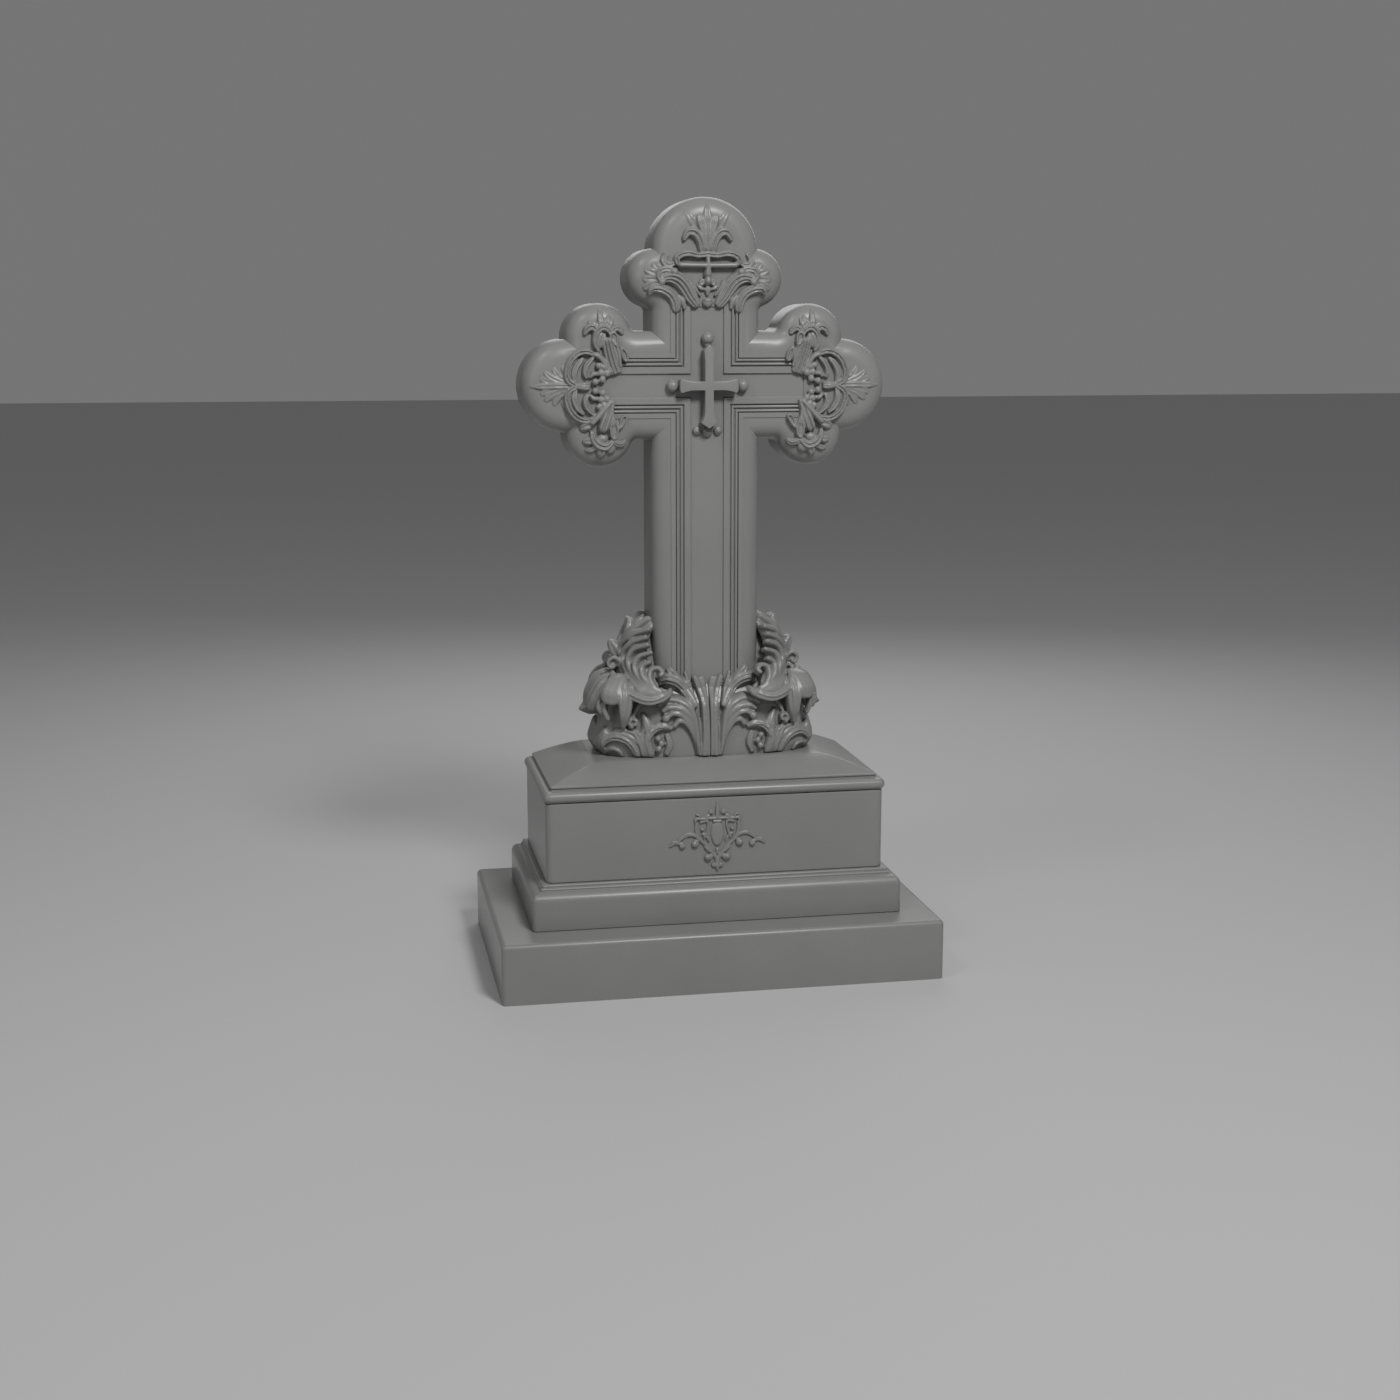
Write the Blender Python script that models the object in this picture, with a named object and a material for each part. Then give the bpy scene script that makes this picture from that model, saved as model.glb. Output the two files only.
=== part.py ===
# A carved stone cross on a moulded plinth, five stones standing on each other.
# Metres, +Z up, X to the right as seen from the front, -Y the front.
# The origin is under the middle of the base slab.

import math

import bmesh
import bpy
from mathutils import Vector
from mathutils.bvhtree import BVHTree

JOINT = 0.0003  # dry joint between two stones

# base slab
SLAB_WIDTH = 0.900
SLAB_DEPTH = 0.575
SLAB_HEIGHT = 0.1234
SLAB_ROUND = 0.010

# moulded course on the slab
COURSE_WIDTH = 0.760
COURSE_DEPTH = 0.423
COURSE_FACE = 0.0585  # height of the plain face below the quarter-round
COURSE_ROUND = 0.0175  # radius of the quarter-round
COURSE_CORNER = 0.010
ROLL_HEIGHT = 0.0065  # each of the two thin rolls on top
ROLL_INSET = 0.0052  # root of the lower one, in from the quarter-round
ROLL_STEP = 0.0033  # and how much further in the upper one is

# die, with its cartouche
DIE_WIDTH = 0.695
DIE_DEPTH = 0.360
DIE_HEIGHT = 0.1620
DIE_CORNER = 0.015
CARTOUCHE_HEIGHT = 0.152
CARTOUCHE_RELIEF = 0.006

# cap of the plinth
CAP_OVERHANG = 0.0060  # how far its roll stands out past the die
CAP_ROLL = 0.0115  # radius of the roll
CAP_GROOVE = 0.0040
CAP_FILLET = 0.0030  # radius of the arris under the hipped top
CAP_FILLET_PROUD = 0.0015  # how far the arris stands out of the groove
CAP_RISE = 0.0364  # height of the hipped top
CAP_SLOPE = 0.110  # how far the hipped top slopes in, along X
CAP_SLOPE_DEPTH = 0.060  # the same along Y

# cross
CROSS_THICKNESS = 0.148
SHAFT_WIDTH = 0.2206
ARM_HEIGHT = 0.2145
ARM_LEVEL = 0.7465  # axis of the arms above the cap
HEAD_RISE = 0.3670  # and from there up to the top
ARM_SPAN = 0.740
TIP_RADIUS = 0.0916  # end lobe of an arm
SIDE_RADIUS = 0.0675  # lobes above and below it
SIDE_OFFSET = 0.0932  # their centres from the axis of the arms
SIDE_INSET = 0.0640  # and in from the centre of the end lobe
CROWN_RADIUS = 0.1073  # lobe at the very top
CHEEK_RADIUS = 0.0575  # lobes beside it
CHEEK_OFFSET = 0.0995
CHEEK_DROP = 0.0495  # their centres below the centre of the top lobe
LOBE_FILLET = 0.012  # where a lobe runs into a straight edge
EDGE_INSET = 0.037  # rounding of the front and back edges, across the face
EDGE_DEPTH = 0.034  # and through the thickness
EDGE_STEPS = 3  # on the front
BACK_STEPS = 2

# mouldings of the cross, as a frame that stands at the foot of the rounding
MOULD_HALF = 0.0737  # from the middle of the shaft to the frame's outer edge
MOULD_HALF_ARM = 0.0637  # the same on the arms
MOULD_STEP = 0.0015  # how far the frame stands out of the lobes' faces
MOULD_WIDTH = 0.041  # from the outer edge of the frame to the sunk band
MOULD_FILLET = 0.0095  # flat next to the outer edge
MOULD_BEAD = 0.0055
MOULD_GROOVE = 0.0025
MOULD_ARRIS = 0.001
BAND_SUNK = 0.004
GROOVE_SUNK = 0.0045
FRAME_DEPTH = 0.022
POCKET_DEPTH = 0.012
POCKET_MARGIN = 0.002

# small cross at the crossing
RELIEF_HEIGHT = 0.165
RELIEF_HEAD = 0.49
RELIEF_SPAN = 0.116
RELIEF_PROUD = 0.028
RELIEF_HALF = 0.009
RELIEF_CHAMFER = 0.003
BALL_RADIUS = 0.012
BALL_SPACING = 0.021  # between the three balls at its foot
BALL_DROP = 0.0036  # how much lower the middle one is

# leaves round the foot
FOOT_WIDTH = 0.444
FOOT_DEPTH = 0.200
FOOT_RISE = 0.277

ROOT_HIDDEN = 0.020  # how far up inside the leaves the shaft begins

LOBE_STEPS = 10  # segments of a half circle
CORE_SIDES = 16
WELD_REACH = 0.00002
SINK = 0.007  # how deep carving is rooted in the stone behind it

die_level = SLAB_HEIGHT + COURSE_FACE + COURSE_ROUND + 2 * ROLL_HEIGHT + 3 * JOINT
die_front = -DIE_DEPTH / 2
cap_level = die_level + DIE_HEIGHT + JOINT
cross_level = cap_level + 2 * CAP_ROLL + CAP_GROOVE + 2 * CAP_FILLET + CAP_RISE + JOINT
arm_z = cross_level + ARM_LEVEL
tip_x = ARM_SPAN / 2 - TIP_RADIUS
side_x = tip_x - SIDE_INSET
crown_z = arm_z + HEAD_RISE - CROWN_RADIUS
half_shaft = SHAFT_WIDTH / 2
half_arm = ARM_HEIGHT / 2
flat_y = -(CROSS_THICKNESS / 2 - MOULD_STEP - EDGE_DEPTH)  # where the rounding begins


def clear_scene():
    for old in list(bpy.data.objects):
        bpy.data.objects.remove(old)


def stone(name, grey, roughness):
    material = bpy.data.materials.new(name)
    material.use_nodes = True
    shader = material.node_tree.nodes["Principled BSDF"]
    shader.inputs["Base Color"].default_value = (grey, grey, grey, 1)
    shader.inputs["Roughness"].default_value = roughness
    shader.inputs["Metallic"].default_value = 0.0
    return material


def new_object(name, bm, material=None):
    bmesh.ops.recalc_face_normals(bm, faces=bm.faces)
    if bm.calc_volume(signed=True) < 0:
        bmesh.ops.reverse_faces(bm, faces=bm.faces)
    mesh = bpy.data.meshes.new(name)
    bm.to_mesh(mesh)
    bm.free()
    made = bpy.data.objects.new(name, mesh)
    bpy.context.scene.collection.objects.link(made)
    if material:
        mesh.materials.append(material)
    return made


def tool_object(name, bm):
    tool = new_object(name, bm)
    tool.hide_render = True
    tool.display_type = "WIRE"
    return tool


def combine(target, tool, operation, solver="EXACT"):
    change = target.modifiers.new(tool.name, "BOOLEAN")
    change.object = tool
    change.operation = operation
    change.solver = solver


def join_leaves(target, shapes, name):
    """Unites a target with carving, each leaf a closed shape that may overlap the others."""
    group = bpy.data.collections.new(name)
    bpy.context.scene.collection.children.link(group)
    for number, shape in enumerate(shapes):
        piece = tool_object(f"{name}_{number}", shape)
        bpy.context.scene.collection.objects.unlink(piece)
        group.objects.link(piece)
    change = target.modifiers.new(name, "BOOLEAN")
    change.operand_type = "COLLECTION"
    change.collection = group
    change.operation = "UNION"
    change.solver = "MANIFOLD"


def weld_slivers(target):
    """Closes the slivers that a Boolean leaves where leaves graze each other."""
    weld = target.modifiers.new("weld", "WELD")
    weld.merge_threshold = WELD_REACH


# outlines

def arc(centre, radius, start, end, steps):
    """Points along an arc, its angles in degrees, both ends included."""
    turn = [math.radians(start + (end - start) * i / steps) for i in range(steps + 1)]
    return [(centre[0] + radius * math.cos(a), centre[1] + radius * math.sin(a)) for a in turn]


def rounded_rectangle(half_x, half_y, radius, steps):
    corners = ((1, 1, 0), (-1, 1, 90), (-1, -1, 180), (1, -1, 270))
    points = []
    for side_x_sign, side_y_sign, start in corners:
        centre = (side_x_sign * (half_x - radius), side_y_sign * (half_y - radius))
        points += arc(centre, radius, start, start + 90, steps)
    return points


def loft(bm, rings):
    """A closed solid through rings of equal length, each a list of points."""
    loops = [[bm.verts.new(point) for point in ring] for ring in rings]
    count = len(loops[0])
    for lower, upper in zip(loops, loops[1:]):
        for i in range(count):
            j = (i + 1) % count
            bm.faces.new((lower[i], lower[j], upper[j], upper[i]))
    bm.faces.new(list(reversed(loops[0])))
    bm.faces.new(loops[-1])


def stacked_stone(name, sections, corner, steps, material):
    """A stone of rounded rectangles, each section a half width, half depth and height."""
    bm = bmesh.new()
    rings = []
    widest = max(section[0] for section in sections)
    for half_x, half_y, z in sections:
        radius = max(corner - (widest - half_x), 0.3 * corner)
        ring = rounded_rectangle(half_x, half_y, radius, steps)
        rings.append([(x, y, z) for x, y in ring])
    loft(bm, rings)
    return new_object(name, bm, material)


def inset_sections(half_x, half_y, profile):
    """Sections from a profile of insets and heights."""
    return [(half_x - inset, half_y - inset, z) for inset, z in profile]


# plinth

def make_slab(material):
    bm = bmesh.new()
    bmesh.ops.create_cube(bm, size=1)
    bmesh.ops.scale(bm, vec=(SLAB_WIDTH, SLAB_DEPTH, SLAB_HEIGHT), verts=bm.verts)
    bmesh.ops.translate(bm, vec=(0, 0, SLAB_HEIGHT / 2), verts=bm.verts)
    rounded = [e for e in bm.edges if max(v.co.z for v in e.verts) > SLAB_HEIGHT / 2]
    bmesh.ops.bevel(bm, geom=rounded, offset=SLAB_ROUND, segments=2, profile=0.5, affect="EDGES")
    return new_object("base_slab", bm, material)


def quarter(inset, z, radius, steps=3):
    """A quarter-round that ends at the inset and height, as insets and heights."""
    return arc((inset + radius, z), radius, 180, 90, steps)


def half_roll(inset, z, radius, steps=3):
    """A roll that bulges out of a face at the inset, from the height upwards."""
    return [(inset - x, y) for x, y in arc((0, z + radius), radius, -90, 90, steps)]


def make_course(material):
    bottom = SLAB_HEIGHT + JOINT
    shoulder = bottom + COURSE_FACE
    top = shoulder + COURSE_ROUND
    roll = ROLL_HEIGHT / 2
    profile = [(0, bottom)] + quarter(0, shoulder, COURSE_ROUND)
    profile += half_roll(COURSE_ROUND + ROLL_INSET, top + JOINT, roll)
    profile += half_roll(COURSE_ROUND + ROLL_INSET + ROLL_STEP, top + JOINT + 2 * roll, roll)
    sections = inset_sections(COURSE_WIDTH / 2, COURSE_DEPTH / 2, profile)
    return stacked_stone("plinth_course", sections, COURSE_CORNER, 2, material)


def make_cap(material):
    groove_z = cap_level + 2 * CAP_ROLL
    arris_z = groove_z + CAP_GROOVE
    eaves_z = arris_z + 2 * CAP_FILLET
    profile = half_roll(CAP_ROLL - CAP_OVERHANG, cap_level, CAP_ROLL)
    profile += [(CAP_ROLL, groove_z + 0.3 * CAP_GROOVE), (CAP_ROLL, arris_z - 0.3 * CAP_GROOVE)]
    profile += half_roll(CAP_ROLL + CAP_FILLET - CAP_FILLET_PROUD, arris_z, CAP_FILLET)
    half_x, half_y = DIE_WIDTH / 2, DIE_DEPTH / 2
    sections = inset_sections(half_x, half_y, profile)
    eaves_x, eaves_y, _ = sections[-1]
    for share, rise in ((0.5, 0.56), (1.0, 1.0)):
        sections.append((eaves_x - share * CAP_SLOPE, eaves_y - share * CAP_SLOPE_DEPTH,
                         eaves_z + rise * CAP_RISE))
    return stacked_stone("cap_stone", sections, DIE_CORNER, 2, material)


# carving: leaves and stems that follow a smooth path over a stone's face

def smooth_path(points, t):
    """A point and its direction on a smooth curve through the points, t from 0 to 1."""
    last = len(points) - 1
    place = min(t * last, last - 1e-6)
    i = int(place)
    f = place - i
    b, c = points[i], points[i + 1]
    a = points[i - 1] if i > 0 else 2 * b - c
    d = points[i + 2] if i + 2 <= last else 2 * c - b
    at = 0.5 * (2 * b + (c - a) * f + (2 * a - 5 * b + 4 * c - d) * f * f
                + (3 * b - a - 3 * c + d) * f ** 3)
    along = 0.5 * ((c - a) + 2 * (2 * a - 5 * b + 4 * c - d) * f
                   + 3 * (3 * b - a - 3 * c + d) * f * f)
    return at, along.normalized()


def blend(values, t):
    """Start, middle and end values along a leaf."""
    start, middle, end = values
    if t < 0.5:
        return start + (middle - start) * math.sin(math.pi * t)
    return end + (middle - end) * math.cos(math.pi * (t - 0.5)) ** 0.7


def leaf(points, width, rise, ground=None, facing=(0, -1, 0), root=SINK, along=4, across=2,
         teeth=0):
    """One leaf or stem: half widths and heights at its start, middle and end.

    Its edges lie just under the surface, and its underside is rooted deeper.
    Teeth cut into every other row of one edge, on the side that their sign gives.
    """
    bm = bmesh.new()
    points = [Vector(p) for p in points]
    facing = Vector(facing).normalized()
    grid = bmesh.ops.create_grid(bm, x_segments=along, y_segments=across, size=1)["verts"]
    sheet = list({face for v in grid for face in v.link_faces})
    lifted = bmesh.ops.extrude_face_region(bm, geom=sheet)["geom"]
    top = [v for v in lifted if isinstance(v, bmesh.types.BMVert)]
    raised = set(top)
    for v in grid + top:
        t, s = (v.co.x + 1) / 2, v.co.y
        at, direction = smooth_path(points, t)
        side = direction.cross(facing).normalized()
        cut = abs(teeth) if s * teeth > 0 and round(t * along) % 2 else 0
        place = at + side * (s * (1 - cut) * blend(width, t))
        if ground:
            place.y = ground(place.x, place.z)
        crown = 1 - 1.15 * abs(s) ** 2.2
        v.co = place + facing * (blend(rise, t) * crown if v in raised else -root)
    return bm


def ball(centre, radius, detail=1):
    bm = bmesh.new()
    bmesh.ops.create_icosphere(bm, subdivisions=detail, radius=radius)
    bmesh.ops.translate(bm, vec=centre, verts=bm.verts)
    return bm


def spiral(centre, radius, start, turn, steps=5):
    """Path of a scroll that winds in from its start angle, in degrees."""
    points = []
    for i in range(steps + 1):
        a = math.radians(start + turn * i / steps)
        r = radius * (1 - 0.62 * i / steps)
        points.append((centre[0] + r * math.cos(a), centre[1] + r * math.sin(a)))
    return points


class Panel:
    """A patch of carving, drawn in shares of its unit about its centre."""

    def __init__(self, shapes, ground, centre, unit, turn_x=1, turn_z=1):
        self.shapes, self.ground = shapes, ground
        self.centre, self.unit = centre, unit
        self.turn_x, self.turn_z = turn_x, turn_z

    def place(self, u, v, depth=0.0):
        x = self.turn_x * (self.centre[0] + u * self.unit)
        return x, depth * self.unit, self.centre[1] + self.turn_z * v * self.unit

    def leaf(self, path, width, rise, along=4, across=2):
        """A leaf laid on the ground: a path of U and V."""
        points = [self.place(u, v) for u, v in path]
        self.shapes.append(leaf(points, [w * self.unit for w in width],
                                [r * self.unit for r in rise], self.ground,
                                along=along, across=across))

    def free_leaf(self, path, width, rise, facing, root, along=5, across=4, teeth=0):
        """A leaf in the round: a path of U, V and depth, rooted behind its face."""
        points = [self.place(u, v, depth) for u, v, depth in path]
        facing = (self.turn_x * facing[0], facing[1], self.turn_z * facing[2])
        self.shapes.append(leaf(points, [w * self.unit for w in width],
                                [r * self.unit for r in rise], facing=facing,
                                root=root * self.unit, along=along, across=across,
                                teeth=teeth * self.turn_x))

    def ball(self, u, v, share, detail=1):
        x, _, z = self.place(u, v)
        radius = share * self.unit
        self.shapes.append(ball((x, self.ground(x, z) - 0.2 * radius, z), radius, detail))


def front_of(bm, miss):
    """The front face of a shape: a function from X and Z to its Y."""
    tree = BVHTree.FromBMesh(bm)

    def ground(x, z):
        hit = tree.ray_cast(Vector((x, -1, z)), Vector((0, 1, 0)))[0]
        return hit.y if hit else miss
    return ground


# die, with its cartouche

def carve_cartouche():
    shapes = []
    centre = (0, die_level + DIE_HEIGHT / 2)
    unit = CARTOUCHE_HEIGHT / 2
    relief = CARTOUCHE_RELIEF / unit
    high, low = (relief,) * 3, (0.7 * relief,) * 3
    for turn in (1, -1):
        panel = Panel(shapes, lambda x, z: die_front, centre, unit, turn)
        panel.leaf([(-0.02, 0.56), (0.50, 0.56), (0.60, 0.70)], (0.06, 0.07, 0.03), high, 3)
        panel.leaf([(0.50, 0.52), (0.42, 0.10), (-0.02, -0.62)], (0.05, 0.07, 0.05), high, 3)
        panel.leaf([(0.26, 0.48), (0.20, 0.10), (-0.01, -0.40)], (0.04, 0.05, 0.04), low, 2)
        panel.leaf([(0.34, -0.04), (0.62, 0.17), (0.95, 0.10), (1.36, -0.20)],
                   (0.06, 0.09, 0.03), high, 4)
        panel.leaf(spiral((0.66, -0.12), 0.17, 200, -280), (0.06, 0.055, 0.04), low, 4)
        panel.leaf(spiral((0.28, -0.55), 0.15, 100, 300), (0.06, 0.055, 0.04), high, 4)
    middle = Panel(shapes, lambda x, z: die_front, centre, unit)
    middle.leaf([(0, 0.55), (0, 1.0)], (0.09, 0.10, 0.02), high, 2)
    middle.leaf([(0, -0.55), (0, -0.96)], (0.08, 0.11, 0.02), high, 2)
    return shapes


def make_die(material):
    top = die_level + DIE_HEIGHT
    sections = inset_sections(DIE_WIDTH / 2, DIE_DEPTH / 2, [(0, die_level), (0, top)])
    die = stacked_stone("die_block", sections, DIE_CORNER, 3, material)
    join_leaves(die, carve_cartouche(), "cartouche")
    weld_slivers(die)
    return die


# cross

def meeting(first, first_radius, second, second_radius):
    """Where two circles cross, on the left of the way from the first to the second."""
    gap = Vector(second) - Vector(first)
    reach = gap.length
    along = (reach ** 2 + first_radius ** 2 - second_radius ** 2) / (2 * reach)
    across = math.sqrt(first_radius ** 2 - along ** 2)
    unit = gap / reach
    return Vector(first) + unit * along + Vector((-unit.y, unit.x)) * across


def angle_at(centre, point):
    return math.degrees(math.atan2(point[1] - centre[1], point[0] - centre[0]))


def lobe_from_edge(edge, centre, radius, notch):
    """A lobe that grows out of a straight edge below it, by way of a fillet.

    The edge runs outward along +X at this height, and the points run outward too.
    """
    reach = radius + LOBE_FILLET
    drop = edge + LOBE_FILLET - centre[1]
    fillet = (centre[0] - math.sqrt(reach ** 2 - drop ** 2), edge + LOBE_FILLET)
    turn = angle_at(fillet, centre)
    points = arc(fillet, LOBE_FILLET, -90, turn, 2)
    start = turn + 180
    end = angle_at(centre, notch)
    steps = round(LOBE_STEPS * (start - end) / 180 * 0.75)
    return points + arc(centre, radius, start, end, steps)[1:]


def arm_quarter():
    """Outline from the neck out to the tip of an arm, above its axis, about (0, arm_z)."""
    side, tip = (side_x, SIDE_OFFSET), (tip_x, 0)
    notch = meeting(side, SIDE_RADIUS, tip, TIP_RADIUS)
    points = [(half_shaft, half_arm)]
    points += lobe_from_edge(half_arm, side, SIDE_RADIUS, notch)
    start = angle_at(tip, notch)
    points += arc(tip, TIP_RADIUS, start, 0, LOBE_STEPS // 2 + 1)[1:]
    return points


def crown_half():
    """Outline from the neck up to the very top, right of the middle, about (0, crown_z)."""
    cheek, crown = (CHEEK_OFFSET, -CHEEK_DROP), (0, 0)
    notch = meeting(crown, CROWN_RADIUS, cheek, CHEEK_RADIUS)
    flipped = lobe_from_edge(half_shaft, (-CHEEK_DROP, CHEEK_OFFSET), CHEEK_RADIUS,
                             (notch[1], notch[0]))
    points = [(y, x) for x, y in flipped]
    start = angle_at(crown, notch)
    points += arc(crown, CROWN_RADIUS, start, 90, LOBE_STEPS // 2)[1:]
    return points


def cross_outline():
    """The whole outline in X and Z, counter-clockwise from the foot."""
    upper = [(x, arm_z + z) for x, z in arm_quarter()]
    lower = [(x, arm_z - z) for x, z in arm_quarter()][:-1]
    crown = [(x, crown_z + z) for x, z in crown_half()]
    right = [(half_shaft, cross_level + ROOT_HIDDEN)] + lower + list(reversed(upper)) + crown
    left = [(-x, z) for x, z in reversed(right[:-1])]
    return right + left


def cross_body():
    """The plain cross: its outline with straight edges, then rounded in steps."""
    bm = bmesh.new()
    front = bm.faces.new([bm.verts.new((x, flat_y, z)) for x, z in cross_outline()])
    made = bmesh.ops.extrude_face_region(bm, geom=[front])["geom"]
    back = next(g for g in made if isinstance(g, bmesh.types.BMFace))
    bmesh.ops.translate(bm, vec=(0, -2 * flat_y, 0), verts=back.verts)
    bmesh.ops.recalc_face_normals(bm, faces=bm.faces)
    for face, steps in ((front, EDGE_STEPS), (back, BACK_STEPS)):
        done_inset, done_depth = 0.0, 0.0
        for step in range(1, steps + 1):
            a = math.pi / 2 * step / steps
            inset = EDGE_INSET * (1 - math.cos(a))
            depth = EDGE_DEPTH * math.sin(a)
            bmesh.ops.inset_region(bm, faces=[face], thickness=inset - done_inset,
                                   depth=depth - done_depth, use_even_offset=True)
            done_inset, done_depth = inset, depth
    return bm


def plus_outline(half_upright, half_bar, reach):
    """A plus about the crossing, from the foot leaves to past the carved ends."""
    low = cross_level + 0.5 * FOOT_RISE - reach
    high = crown_z + reach
    out = tip_x + reach
    right = [(half_upright, low), (half_upright, arm_z - half_bar), (out, arm_z - half_bar),
             (out, arm_z + half_bar), (half_upright, arm_z + half_bar), (half_upright, high)]
    return right + [(-x, z) for x, z in reversed(right)]


def slab_from(outline, y_back, y_front):
    """A closed slab of an outline, and its front face."""
    bm = bmesh.new()
    back = bm.faces.new([bm.verts.new((x, y_back, z)) for x, z in outline])
    made = bmesh.ops.extrude_face_region(bm, geom=[back])["geom"]
    front = next(g for g in made if isinstance(g, bmesh.types.BMFace))
    for v in front.verts:
        v.co.y = y_front
    bmesh.ops.recalc_face_normals(bm, faces=bm.faces)
    return bm, front


def cut_square(bm, place, outward):
    """Cuts a closed shape off flat and closes it again."""
    everything = list(bm.verts) + list(bm.edges) + list(bm.faces)
    cut = bmesh.ops.bisect_plane(bm, geom=everything, plane_co=place, plane_no=outward,
                                 clear_outer=True)["geom_cut"]
    edges = [g for g in cut if isinstance(g, bmesh.types.BMEdge)]
    bmesh.ops.contextual_create(bm, geom=edges)


def mould_profile():
    """Mouldings from the outer edge of the frame to the band: inset and depth below the front."""
    bead, worn = MOULD_BEAD, 0.5 * MOULD_ARRIS
    points = [(2 * MOULD_ARRIS, 0.0), (MOULD_FILLET, 0.0),
              (MOULD_FILLET + MOULD_ARRIS, GROOVE_SUNK)]
    at = MOULD_FILLET + MOULD_GROOVE
    for _ in range(2):
        points += [(at, GROOVE_SUNK), (at + 0.25 * bead, worn), (at + 0.75 * bead, worn),
                   (at + bead, GROOVE_SUNK)]
        at += bead + MOULD_GROOVE
    points += [(at, GROOVE_SUNK), (at + MOULD_ARRIS, 0.0)]
    points += [(MOULD_WIDTH - MOULD_ARRIS, 0.0), (MOULD_WIDTH, BAND_SUNK)]
    return points


def limit_plus(bm, margin=0):
    """Cuts the frame off square under the carved ends."""
    side_end = tip_x - 0.85 * TIP_RADIUS - margin
    top_end = crown_z - 0.98 * CROWN_RADIUS
    cut_square(bm, (side_end, 0, 0), (1, 0, 0))
    cut_square(bm, (-side_end, 0, 0), (-1, 0, 0))
    cut_square(bm, (0, 0, top_end), (0, 0, 1))
    cut_square(bm, (0, 0, cross_level + 0.35 * FOOT_RISE), (0, 0, -1))


def moulded_frame():
    front_y = -CROSS_THICKNESS / 2
    outline = plus_outline(MOULD_HALF, MOULD_HALF_ARM, 1.5 * MOULD_WIDTH)
    bm, front = slab_from(outline, front_y + FRAME_DEPTH, front_y)
    done_inset, done_depth = 0.0, 0.0
    for inset, sunk in mould_profile():
        bmesh.ops.inset_region(bm, faces=[front], thickness=inset - done_inset,
                               depth=done_depth - sunk, use_even_offset=True)
        done_inset, done_depth = inset, sunk
    limit_plus(bm)
    return bm


def frame_pocket():
    """What is cut out of the body, so that the frame's band can lie below its face."""
    front_y = -CROSS_THICKNESS / 2
    outline = plus_outline(MOULD_HALF - POCKET_MARGIN, MOULD_HALF_ARM - POCKET_MARGIN,
                           1.5 * MOULD_WIDTH)
    bm, _ = slab_from(outline, front_y + POCKET_DEPTH, front_y - POCKET_DEPTH)
    limit_plus(bm, POCKET_MARGIN)
    return bm


def relief_outline():
    """The small cross in X and Z about the crossing: a pointed foot and head, flared arms."""
    half, span = RELIEF_HALF, RELIEF_SPAN / 2
    head = RELIEF_HEAD * RELIEF_HEIGHT
    foot = head - RELIEF_HEIGHT
    right = [(0, foot), (1.9 * half, foot + 0.014), (half, foot + 0.034), (half, -half),
             (span - 0.020, -half), (span - 0.004, -1.6 * half), (span, 0),
             (span - 0.004, 1.6 * half), (span - 0.020, half), (half, half),
             (half, head - 0.026), (1.25 * half, head - 0.012), (0, head)]
    return right + [(-x, z) for x, z in reversed(right[1:-1])]


def carve_relief_cross():
    """The small cross, its edges chamfered, with balls at three ends and bosses at the foot."""
    band_y = -CROSS_THICKNESS / 2 + BAND_SUNK
    front_y = band_y - RELIEF_PROUD
    outline = [(x, arm_z + z) for x, z in relief_outline()]
    plate, front = slab_from(outline, band_y + SINK, front_y + RELIEF_CHAMFER)
    bmesh.ops.inset_region(plate, faces=[front], thickness=RELIEF_CHAMFER,
                           depth=RELIEF_CHAMFER, use_even_offset=True)
    shapes = [plate]
    ball_y = band_y - 0.35 * RELIEF_PROUD
    head_z = arm_z + RELIEF_HEAD * RELIEF_HEIGHT + BALL_RADIUS
    end_x = RELIEF_SPAN / 2 + 1.1 * BALL_RADIUS
    for x, z in ((0, head_z), (end_x, arm_z), (-end_x, arm_z)):
        shapes.append(ball((x, ball_y, z), BALL_RADIUS, 2))
    foot_z = arm_z - (1 - RELIEF_HEAD) * RELIEF_HEIGHT - 0.6 * BALL_RADIUS
    for x, drop in ((-BALL_SPACING, 0), (0, BALL_DROP), (BALL_SPACING, 0)):
        shapes.append(ball((x, band_y, foot_z - drop), 0.85 * BALL_RADIUS))
    return shapes


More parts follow.
